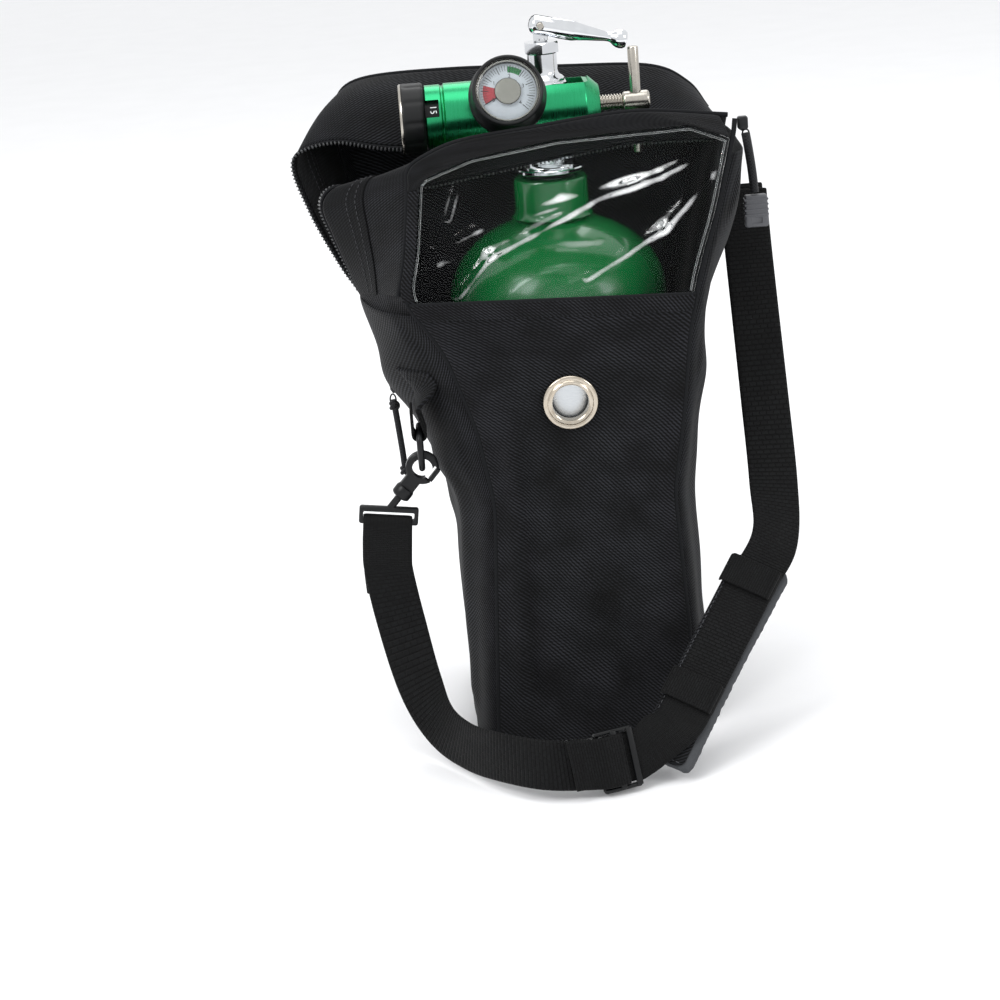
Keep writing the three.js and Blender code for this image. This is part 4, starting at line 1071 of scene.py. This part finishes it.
def bag_panels():
    front = sheet("front_cloth", front_surface, 52, 90, CLOTH, cloth, "bag", "front_panel")
    punched(front, (-1, FRONT_Y, 181), 10)
    sheet("back_cloth", back_surface, 44, 80, CLOTH, cloth, "bag", "back_panel")
    sheet("left_cloth", left_surface, 60, 70, CLOTH, cloth, "bag", "left_panel")
    sheet("right_cloth", right_surface, 60, 84, CLOTH, cloth, "bag", "right_panel")
    sheet("lid_cloth", lid_surface, 90, 16, CLOTH, cloth, "bag", "lid_gusset")
    sheet("mouth_cloth", mouth_surface, 100, 10, CLOTH, cloth, "bag", "mouth_gusset")
    film = sheet("window_vinyl", film_surface, 110, 70, 0.5, vinyl, "bag", "window_film")
    film.visible_shadow = False

    def base_surface(u, v):
        a, b = 2 * u - 1, 2 * v - 1
        reach = max(abs(a), abs(b))
        norm = (abs(a) ** 8 + abs(b) ** 8) ** 0.125
        pull = reach / norm if norm else 1
        return Vector((a * 60 * pull - 0.5, b * 60 * pull - 0.7, 0.95))
    sheet("base_cloth", base_surface, 30, 30, 1.8, cloth, "bag", "base_panel")


bag_panels()


# ---------------------------------------------------------------- bag: seams and stitching
def seam(name, route, radius=1.25):
    """A bound seam allowance: a thin rolled edge of cloth where two panels meet."""
    strand(name, route, radius, binding, "bag")


binding = grained("black_bound_seam", "#08090a", "#17181b", 0.55, (0.7, 0.88), 0.1, Specular_IOR_Level=0.15)


def edge_route(edge, depth, low, high, y_shift, steps=60):
    places = []
    for i in range(steps + 1):
        z = low + (high - low) * i / steps
        places.append((stations(edge, z), depth(z) + y_shift, z))
    return places


def front_at(z):
    return stations(FRONT_DEPTH, z)


seam("front_left_seam", edge_route(FRONT_LEFT, front_at, 3, 238, 0.9))
seam("front_right_seam", edge_route(FRONT_RIGHT, front_at, 3, 312, 0.9))
seam("back_left_seam", edge_route(BACK_LEFT, lambda z: BACK_Y, 3, 300, -0.4))
seam("back_right_seam", edge_route(BACK_RIGHT, lambda z: BACK_Y, 3, 304, -0.4))
seam("lid_back_seam", [through(LID_SEAM, i / 80) + Vector((0, 1.4, 0.2)) for i in range(81)])
seam("mouth_front_seam", [through(MOUTH_SEAM, i / 80) for i in range(81)])
seam("hem_roll", [front_surface(i / 50, 1) + Vector((0, -0.2, 0)) for i in range(51)], 1.0)


def corner_cloth():
    """Where the zip opens, the gussets run on into the side panel below them."""
    def front(u, v):
        low = lifted(left_surface, 0.455 * u, 0.985, 0.4)
        return low.lerp(lifted(mouth_surface, 0.02, u, -0.3), v)

    def rear(u, v):
        low = lifted(left_surface, 1 - 0.5 * u, 0.985, 0.4)
        return low.lerp(lifted(lid_surface, 0.02, u, 0.3), v)
    sheet("front_corner_cloth", front, 30, 6, CLOTH, cloth, "bag")
    sheet("rear_corner_cloth", rear, 30, 6, CLOTH, cloth, "bag")


corner_cloth()


def back_band():
    """A facing of the same cloth behind the lid's seam, which closes the bag's upper corners."""
    def band(u, v):
        edge = through(LID_SEAM, u) + Vector((0, 0.7, 0))
        inner = Vector((edge.x * 0.86, BACK_Y + 1.4,
                        edge.z - 11 * math.sin(math.pi * min(max(u, 0.06), 0.94)) ** 0.4))
        return edge.lerp(inner, v)
    sheet("back_top_facing", band, 90, 6, 1.0, cloth, "bag")
    stitched("back_top_stitches", band, lambda t: (0.03 + 0.94 * t, 0.8), lift=-0.75)


back_band()


def film_edges():
    """The film's edges, folded double before they are sewn."""
    def edge(name, line):
        strand(name, [line(i / 60) + Vector((0, -0.7, 0)) for i in range(61)], 0.55, vinyl_fold, "bag")
    edge("film_left_fold", lambda t: film_surface(0.012, 0.02 + 0.96 * t))
    edge("film_right_fold", lambda t: film_surface(0.985, 0.02 + 0.96 * t))
    edge("film_top_fold", lambda t: film_surface(0.012 + 0.973 * t, 0.975))


film_edges()


def film_binding():
    """The cloth tape that borders the film along its top, its left side and its hem, sewn through."""
    def top(u, v):
        return film_surface(u, 1).lerp(through(MOUTH_SEAM, 0.32 + 0.67 * u) + Vector((0, -1.2, 0)), v) \
            + Vector((0, -0.7, 0))
    sheet("window_top_band", top, 80, 5, 0.9, cloth, "bag")
    stitched("window_top_stitches", top, lambda t: (t, 0.25), lift=-0.7)

    def left(u, v):
        z = HEM_Z + 2 + v * 55
        inner = film_surface(0, min(1, v)) + Vector((0.6, -0.5, 0))
        outer = Vector((stations(FRONT_LEFT, z) - 1.5, front_at(z) + 0.6, inner.z))
        return outer.lerp(inner, u)
    sheet("window_left_band", left, 5, 40, 0.8, cloth, "bag")

    def hem(u, v):
        return front_surface(u, 1 - 0.036 * (1 - v)) + Vector((0, -0.9, 0))
    sheet("window_hem_band", hem, 60, 5, 0.8, cloth, "bag")
    for k, height in enumerate((0.22, 0.8)):
        stitched(f"hem_stitches_{k + 1}", hem, lambda t, h=height: (0.015 + 0.97 * t, h), lift=-0.62)


film_binding()
stitched("side_seam_stitches", left_surface, lambda t: (0.02 + 0.4 * t, 0.785 - 0.05 * t), lift=0.8)


# ---------------------------------------------------------------- eyelet
def eyelet():
    """A rolled brass eyelet: a raised round lip, a flat flange and a barrel through the cloth."""
    lip = [(9, 3), (9, -1.6), (9.2, -2.4), (9.8, -2.9), (10.6, -3), (11.2, -2.6), (11.5, -2.2), (12.2, -2.4),
           (12.9, -2.4), (13.5, -2), (13.8, -1.4), (13.2, -1.3), (10, -1.3), (9.6, 3)]
    bm = turned([(r, z) for r, z in lip], 120, ring=True)
    finished("rolled_eyelet", bm, eyelet_nickel, "bag", "grommet_eyelet",
             matrix=at(-1, FRONT_Y - 0.8, 181) @ Matrix.Rotation(-math.pi / 2, 4, "X"))


eyelet()


# ---------------------------------------------------------------- zip
CHAIN_LIFT = 2.1


def zip_edge(seam_line, edge_line):
    def route(t):
        rim = through(edge_line, t)
        ahead = through(edge_line, min(t + 0.005, 1)) - through(edge_line, max(t - 0.005, 0))
        out = rim - through(seam_line, t)
        out -= ahead.normalized() * out.dot(ahead.normalized())
        return rim + out.normalized() * CHAIN_LIFT
    return route


def zip_half(name, seam_line, edge_line, surface, node, tape_from):
    """Half a zip: coil teeth along the free edge, a core cord behind them and a tape sewn on."""
    route = zip_edge(seam_line, edge_line)

    def facing(t):
        return lifted(surface, t, 0.9, 1) - surface(t, 0.9)
    teeth = beads(lambda t: route(0.01 + 0.98 * t), 2.0, (0.62, 1.35, 1.05), facing)
    finished(name + "_teeth", teeth, tooth_nylon, "bag", node)
    core = [route(0.01 + 0.98 * i / 120) for i in range(121)]
    strand(name + "_core", [p + (through(seam_line, i / 120) - p).normalized() * 1.2 for i,
                            p in enumerate(core)],
           0.85, binding, "bag")

    def tape(u, v):
        return lifted(surface, u, min(tape_from + (0.995 - tape_from) * v, 0.995), 1.15)
    sheet(name + "_tape", tape, 90, 5, 0.6, zip_tape, "bag")
    stitched(name + "_stitches", tape, lambda t: (0.01 + 0.98 * t, 0.18), lift=0.5)
    stitched(name + "_edge_stitches", tape, lambda t: (0.01 + 0.98 * t, 0.4), lift=0.5)


zip_half("lid_zip", LID_SEAM, LID_EDGE, lid_surface, "lid_zip_chain", 0.6)
zip_half("mouth_zip", MOUTH_SEAM, MOUTH_EDGE, mouth_surface, "mouth_zip_chain", 0.5)


def closed_zip():
    """Below the left corner the zip is shut, and its chain runs down the side to the slider."""
    def line(t):
        return lifted(left_surface, 0.455, 0.995 - 0.18 * t, 1.5)

    def out(t):
        return lifted(left_surface, 0.455, 0.9, 1) - left_surface(0.455, 0.9)
    for side in (-1, 1):
        teeth = beads(lambda t, s=side: line(t) + Vector((0, 0.9 * s, 0.4 * s)), 1.75, (0.56, 1.2, 0.9), out)
        finished(f"closed_zip_teeth_{'a' if side < 0 else 'b'}", teeth, tooth_nylon, "bag")


closed_zip()


def slider(name, centre, size, tilt, node, body):
    """A die-cast zip slider: a waisted body with a bridge for its puller."""
    x, y, z = size
    bm = block(x, y, z, edge=min(size) * 0.22)
    for vert in bm.verts:
        vert.co.y *= 1 - 0.22 * (vert.co.z / z + 0.5)
    bridge = moved(turned([(1.5, -0.7), (2.3, -0.7), (2.3, 0.7), (1.5, 0.7)], 40, ring=True),
                   at(0, 0, -z * 0.28) @ Matrix.Rotation(math.pi / 2, 4, "X"))
    finished(name, shaped(bm, ("UNION", bridge)), wire, body, node,
             matrix=at(*centre) @ Matrix.Rotation(tilt, 4, "Y"))


slider("left_zip_slider", (-88.9, -7, 184), (3.8, 5.4, 9.4), math.radians(-18), "zip_slider_left", "bag")
slider("right_zip_slider", (98.6, -1, 302), (5.2, 5.6, 6.6), 0, "zip_slider_right", "bag")


def wire_loop(name, centre, wide, high, radius, body):
    route = []
    for i in range(33):
        a = i / 32 * 2 * math.pi
        route.append((centre[0] + wide * math.cos(a), centre[1] - 0.3 * math.sin(a),
                      centre[2] + high * math.sin(a)))
    strand(name, route, radius, wire, body)


wire_loop("left_puller_wire", (-89.3, -8.1, 175.4), 1.5, 3.2, 0.42, "left_pull")
wire_loop("right_puller_wire", (99.9, -1.5, 297), 1.6, 1.6, 0.42, "right_pull")


def knot(name, centre, size, body):
    """An overhand knot, as one lumpy turn of cord."""
    route = []
    for i in range(49):
        a = i / 48 * 4 * math.pi
        bulge = 1 + 0.35 * math.cos(a * 1.5)
        route.append((centre[0] + size * 0.6 * bulge * math.cos(a),
                      centre[1] + size * 0.6 * bulge * math.sin(a),
                      centre[2] + size * 0.5 * math.sin(a * 1.5)))
    strand(name, route, size * 0.42, braid, body)


knot("left_pull_end_knot", (-86.4, -9, 137.4), 2.6, "left_pull")
knot("left_pull_top_knot", (-89, -8.3, 172.4), 2.5, "left_pull")


# ---------------------------------------------------------------- left anchor and snap hook
RING = Vector((-77, -50, 170))
EYE = Vector((-77, -50, 150.6))
HUNG = at(*EYE) @ Matrix.Rotation(math.radians(42), 4, "Y")
FRAMED = at(EYE.x - 19, EYE.y, EYE.z - 23.6) @ Matrix.Rotation(math.radians(8), 4, "Y")


def d_ring():
    """A moulded D: a straight bar in the loop and a round bow below it."""
    reach = 11.9
    route = [Vector((0, y, 0)) for y in (-8.5, 0, 8.5)]
    for i in range(5):
        a = math.radians(90 - 22.5 * i)
        route.append(Vector((0, 8.5 + 3.4 * math.cos(a), -3.4 + 3.4 * math.sin(a))))
    for i in range(25):
        a = math.radians(7.5 * i)
        route.append(Vector((0, reach * math.cos(a), -7.5 - reach * math.sin(a))))
    for i in range(5):
        a = math.radians(180 - 22.5 * i)
        route.append(Vector((0, -8.5 + 3.4 * math.cos(a), -3.4 + 3.4 * math.sin(a))))
    strand("anchor_d_ring", [RING + p for p in route], 1.6, acetal, "ring", "d_ring_left",
           sides=5, loop=True)


d_ring()


def anchor_loop():
    """Webbing folded round the ring's bar and sewn to the bag above it."""
    def loop(u, v):
        turn = (u - 0.5) * 2
        lift = 12.5
        if abs(turn) > 0.42:
            z = lift * (abs(turn) - 0.42) / 0.58
            x = 3.1 * math.copysign(1, turn)
        else:
            a = turn / 0.42 * math.pi / 2
            x, z = 3.1 * math.sin(a), -3.1 * math.cos(a)
        return RING + Vector((x - 0.25 * z * (turn > 0), (v - 0.5) * 19, z))
    sheet("left_anchor_webbing", loop, 40, 8, 1.5, webbing, "bag", "anchor_loop_left")


anchor_loop()


def anchor_tab():
    """The loop's two ends run up and in to the bag's side, where they are sewn on."""
    def tab(u, v):
        y = RING.y + 5 * u + (v - 0.5) * (19 - 3 * u)
        z = RING.z + 11 + 19 * u
        round_side = min((left_surface(i / 100, (z - FOOT_Z) / (LEFT_TOP_Z - FOOT_Z)) for i in range(50)),
                         key=lambda place: abs(place.y - y))
        return Vector((blended(RING.x, min(round_side.x - 1.3, -58), eased(u * 1.15)), y, z))
    sheet("left_anchor_tab", tab, 24, 10, 2.2, cloth, "bag")
    stitched("left_anchor_stitches", tab, lambda t: (0.8, 0.1 + 0.8 * t), lift=-1.2)


anchor_tab()


def snap_hook():
    """A moulded snap hook: a round eye with a side gate, over a swivel socket."""
    def across(radius, low, high):
        return moved(rod(radius, low, high, 72), Matrix.Rotation(math.pi / 2, 4, "X"))
    rim = moved(turned([(0, -2.6), (7.6, -2.6), (8.4, -1.8), (8.4, 1.8), (7.6, 2.6), (0, 2.6)], 72),
                Matrix.Rotation(math.pi / 2, 4, "X"))
    socket = turned([(0, -19), (3.9, -19), (4.7, -18.4), (4.9, -17.6), (4.9, -14.4), (4.4, -13.2),
                     (0, -12.6)], 72)
    bm = shaped(rim, ("UNION", block(8, 5.2, 10, (0, 0, -10.5), 1, 2)), ("UNION", socket),
                ("DIFFERENCE", across(5.1, -5, 5)), ("DIFFERENCE", block(6, 7, 8.4, (7.2, 0, 0.6))),
                ("DIFFERENCE", rod(2.3, -21, -15.4, 40)))
    finished("moulded_snap_hook", bm, acetal, "hook", "snap_hook", matrix=HUNG, edge=0.35)
    gate = block(2.2, 4, 7.6, (7.1, 0, 0.6), 0.5, 3)
    finished("spring_gate", gate, acetal, "gate", "hook_gate", matrix=HUNG)


snap_hook()


def swivel_frame():
    """The strap's frame: a slot for the webbing under a headed swivel post."""
    post = turned([(0, -26.6), (1.9, -26.6), (1.9, -16.4), (1.5, -15.9), (0, -15.8)], 48)
    post.transform(HUNG)
    outer = moved(block(30, 4.2, 9.4, edge=1.3), FRAMED)
    inner = moved(block(25.8, 8, 4.2, edge=0.6, segments=2), FRAMED)
    bm = shaped(outer, ("UNION", post), ("DIFFERENCE", inner))
    finished("strap_swivel_frame", bm, acetal, "bag", "swivel_frame", edge=0.2)


swivel_frame()


# ---------------------------------------------------------------- shoulder strap
WEBBING = 25
ADJUSTER = Vector((6, -127, 16.6))
slide_along = Vector((0.96, 0.27, 0.05)).normalized()
slide_up = Vector((0.05, 0.33, 0.94))
slide_up = (slide_up - slide_along * slide_up.dot(slide_along)).normalized()
slide_face = slide_along.cross(slide_up)
SLIDE = at(*ADJUSTER) @ Matrix((slide_along, slide_up, slide_face)).transposed().to_4x4()
PAD_FOOT = Vector((27.5, -120.5, 8.6))
PAD_LENGTH = 118
PAD_WIDTH = 33
PAD_THICK = 6
FOAM_SHOWN = 3.6
pad_along = Vector((0.55, 0.5, 0.69)).normalized()
pad_across = Vector((-0.87, 0.47, 0.35))
pad_across = (pad_across - pad_along * pad_across.dot(pad_along)).normalized()
pad_face = pad_along.cross(pad_across).normalized()
PAD = at(*PAD_FOOT) @ Matrix((pad_across, pad_face, pad_along)).transposed().to_4x4()
STRAP_LIFT = PAD_THICK / 2 + 1.4


def on_slide(s):
    return ADJUSTER + slide_along * s


def on_pad(s, lift, aside=0.0):
    return PAD_FOOT + pad_along * s + pad_face * lift + pad_across * aside


def webbing_between(centres, widths, width=WEBBING):
    def surface(u, v):
        wide = through(widths, u).normalized()
        return through(centres, u) + wide * ((v - 0.5) * width)
    return surface


LEFT_ROUTE = [(-98.6, -46.6, 84), (-98.9, -46.8, 98), (-97.8, -46.8, 112), (-96.9, -46.8, 121.5),
              (-96.6, -48, 125.6), (-96.5, -50, 126.6), (-96.6, -52, 125.6), (-97.2, -53.4, 121),
              (-98.4, -52.8, 110), (-98.6, -51.8, 98), (-95, -53, 72), (-88, -59, 38), (-79, -70, 19),
              (-66, -92, 15.2), (-51, -113, 17.2), (-31, -129, 18.2), on_slide(-18) + Vector((0, 0, 1.4)),
              on_slide(-9), on_slide(-1)]
LEFT_WIDTHS = [(1, 0, -0.05)] * 4 + [(1, 0, -0.14)] * 5 + [(1, 0, 0), (0.97, 0, 0.2), (0.85, -0.15, 0.45),
              (0.5, -0.1, 0.85), (0.15, 0.12, 0.97), (0.05, 0.25, 0.95), (0.02, 0.33, 0.94)] + [slide_up] * 3
RIGHT_ROUTE = [on_slide(0), on_slide(9), on_slide(12), on_pad(11, 8, 5), on_pad(22, 5.6, 0.5),
               on_pad(34, STRAP_LIFT), on_pad(50, STRAP_LIFT), on_pad(80, STRAP_LIFT),
               on_pad(105, STRAP_LIFT),
               on_pad(130, STRAP_LIFT), (101, -38, 124), (101.5, -16, 162), (101.5, 6, 204), (101.5, 24, 240),
               (101.5, 31, 262)]
RIGHT_WIDTHS = [slide_up, slide_up, (-0.15, 0.36, 0.87), (-0.5, 0.42, 0.7), (-0.8, 0.46, 0.42)] \
    + [pad_across] * 5 + [(-0.97, 0.15, 0.05), (-1, 0.05, 0), (-1, 0, 0), (-1, 0, 0), (-1, 0, 0)]


def strap():
    """25 mm webbing: sewn round the swivel frame, down on to its edge, through the slide and up."""
    sheet("webbing_strap_left", webbing_between(LEFT_ROUTE, LEFT_WIDTHS), 260, 8, 1.4, webbing, "bag",
          "strap_left")
    sheet("webbing_strap_right", webbing_between(RIGHT_ROUTE, RIGHT_WIDTHS), 240, 8, 1.4, webbing, "bag",
          "strap_right")

    def tail(u, v):
        lift = 1.7 + 2.1 * eased((u - 0.35) / 0.3) - 2.6 * eased((u - 0.9) / 0.1)
        s = -24 + 27.4 * min(u / 0.93, 1)
        rise = 2.4 * eased((-s - 7) / 16)
        return on_slide(s) + slide_face * lift + slide_up * (rise + (v - 0.5) * (WEBBING + 0.6))
    sheet("webbing_fold_at_slide", tail, 60, 8, 1.3, webbing, "bag")

    def loop(u, v):
        return Vector((101.5 + (0.5 - v) * 22, 36.4 - 2.6 * math.sin(math.pi * u), 249 + 15 * u))
    sheet("right_anchor_webbing", loop, 14, 8, 1.5, webbing, "bag", "anchor_loop_right")


strap()


def strap_slide():
    """A three-bar slide: the webbing's end folds round the middle bar and hides it."""
    rails = [block(19, 2.2, 4.2, (0, side * 14.2, 0), 0.9, 3) for side in (-1, 1)]
    bars = [block(3.2, 29, 1.5, (x, 0, z), 0.6, 3) for x, z in ((-8, -1.9), (8.4, 2), (0, 2))]
    bm = shaped(rails[0], ("UNION", rails[1]), *[("UNION", bar) for bar in bars])
    finished("three_bar_slide", bm, acetal, "adjuster", "strap_adjuster", matrix=SLIDE)


strap_slide()


# ---------------------------------------------------------------- shoulder pad
def pad_blank(inset, thick):
    """A long pad outline with rounded ends, before it is filled."""
    bm = block((PAD_WIDTH - 2 * inset), thick, PAD_LENGTH - 2 * inset, (0, 0, PAD_LENGTH / 2))
    upright = [e for e in bm.edges if abs(e.verts[0].co.y - e.verts[1].co.y) > thick * 0.9]
    bmesh.ops.bevel(bm, geom=upright, offset=4, segments=6, profile=0.5, affect="EDGES", material=-1)
    bmesh.ops.bevel(bm, geom=bm.edges[:], offset=0.9, segments=2, profile=0.5, affect="EDGES", material=-1)
    return bm


def inflate(piece, cap):
    """Fills a padded piece: cloth under a little pressure, which may move no further than cap."""
    remesh = piece.modifiers.new("remesh", "REMESH")
    remesh.mode = "VOXEL"
    remesh.voxel_size = 2.4 * MM
    graph = bpy.context.evaluated_depsgraph_get()
    even = bpy.data.meshes.new_from_object(piece.evaluated_get(graph))
    piece.modifiers.clear()
    materials = list(piece.data.materials)
    piece.data = even
    even.materials.clear()
    for one in materials:
        even.materials.append(one)
    start = [v.co.copy() for v in even.vertices]
    cloth_sim = piece.modifiers.new("cloth", "CLOTH")
    cloth_sim.settings.use_pressure = True
    cloth_sim.settings.uniform_pressure_force = 4
    cloth_sim.settings.effector_weights.gravity = 0
    cloth_sim.settings.tension_stiffness = 25
    cloth_sim.settings.compression_stiffness = 25
    cloth_sim.settings.bending_stiffness = 1.5
    for number in range(1, 21):
        bpy.context.scene.frame_set(number)
    graph = bpy.context.evaluated_depsgraph_get()
    swollen = [v.co.copy() for v in piece.evaluated_get(graph).data.vertices]
    piece.modifiers.clear()
    bpy.context.scene.frame_set(1)
    for vert, was, now in zip(even.vertices, start, swollen):
        shift = now - was
        if shift.length > cap * MM:
            shift *= cap * MM / shift.length
        vert.co = was + shift
    for face in even.polygons:
        face.use_smooth = True
    smooth = piece.modifiers.new("smooth", "SUBSURF")
    smooth.levels = 1
    smooth.render_levels = 1


def shoulder_pad():
    """Grey foam faced with black cloth on the strap's side, held by two webbing bands."""
    core = finished("pad_foam_core", pad_blank(0.8, PAD_THICK - 1), foam, "pad",
                    "shoulder_pad",
                    matrix=PAD)
    inflate(core, 1.2)

    def facing(u, v):
        a, b = 2 * u - 1, 2 * v - 1
        edge = PAD_WIDTH / 2 - 1.8
        end = PAD_LENGTH / 2 - 1.8
        corner = max(0, abs(b) * end - (end - 4))
        x = a * (edge - FOAM_SHOWN / 2 - (4 - math.sqrt(max(0, 16 - corner ** 2)))) + FOAM_SHOWN / 2
        crown = 3.35 + 0.7 * (1 - a * a) * (1 - b ** 8)
        return PAD @ Vector((x, crown, PAD_LENGTH / 2 + b * end))
    sheet("pad_cloth_facing", facing, 16, 60, 0.8, cloth, "pad")
    outline = ((0.06, 0.02, 0.94, 0.02), (0.94, 0.02, 0.94, 0.98), (0.94, 0.98, 0.06, 0.98),
               (0.06, 0.98, 0.06, 0.3))
    for k, (u0, v0, u1, v1) in enumerate(outline):
        stitched(f"pad_edge_stitches_{k + 1}", facing, lambda t, a=u0, b=v0, c=u1,
                 d=v1: (a + (c - a) * t, b + (d - b) * t),
                 lift=-0.45, body="pad")
    for name, s in (("pad_band_lower", 40), ("pad_band_upper", 106)):
        def band(u, v, s=s):
            a = 2 * u - 1
            y = PAD_THICK / 2 + 4.2 - 3.2 * eased((abs(a) - 0.84) / 0.16)
            return PAD @ Vector((a * (PAD_WIDTH / 2 - 0.4 - FOAM_SHOWN / 2) + FOAM_SHOWN / 2, y,
                                 s + (v - 0.5) * 16))
        sheet(name + "_webbing", band, 40, 8, 1.1, webbing, "pad", name)


shoulder_pad()


# ---------------------------------------------------------------- stage
def stage():
    floor = bpy.data.objects.new("floor", bpy.data.meshes.new("floor"))
    bm = bmesh.new()
    bmesh.ops.create_grid(bm, x_segments=1, y_segments=1, size=12)
    bm.to_mesh(floor.data)
    bm.free()
    floor.data.materials.append(grained("pale_painted_floor", "#ededee", "#f3f3f4", 60, (0.6, 0.75), 0.02))
    bpy.context.scene.collection.objects.link(floor)
    lamps = [((-1.1, -1.0, 1.5), (0, 0, 0.2), 0.8, 16), ((1.3, -0.9, 1.0), (0, 0, 0.2), 0.5, 6),
             ((0.1, 1.2, 1.7), (0, 0, 0.3), 1.0, 7), ((0.0, -0.3, 2.2), (0, 0, 0.2), 1.2, 8)]
    for k, (place, target, size, power) in enumerate(lamps):
        light = bpy.data.lights.new(f"softbox_{k + 1}", "AREA")
        light.size = size
        light.energy = power
        lamp = bpy.data.objects.new(f"softbox_{k + 1}", light)
        lamp.location = place
        lamp.rotation_euler = (Vector(target) - Vector(place)).to_track_quat("-Z", "Y").to_euler()
        bpy.context.scene.collection.objects.link(lamp)
    world = bpy.data.worlds.new("studio")
    world.use_nodes = True
    world.node_tree.nodes["Background"].inputs["Color"].default_value = linear("#f2f3f4")
    world.node_tree.nodes["Background"].inputs["Strength"].default_value = 1.12
    bpy.context.scene.world = world


stage()
bpy.context.scene.view_settings.view_transform = "Standard"
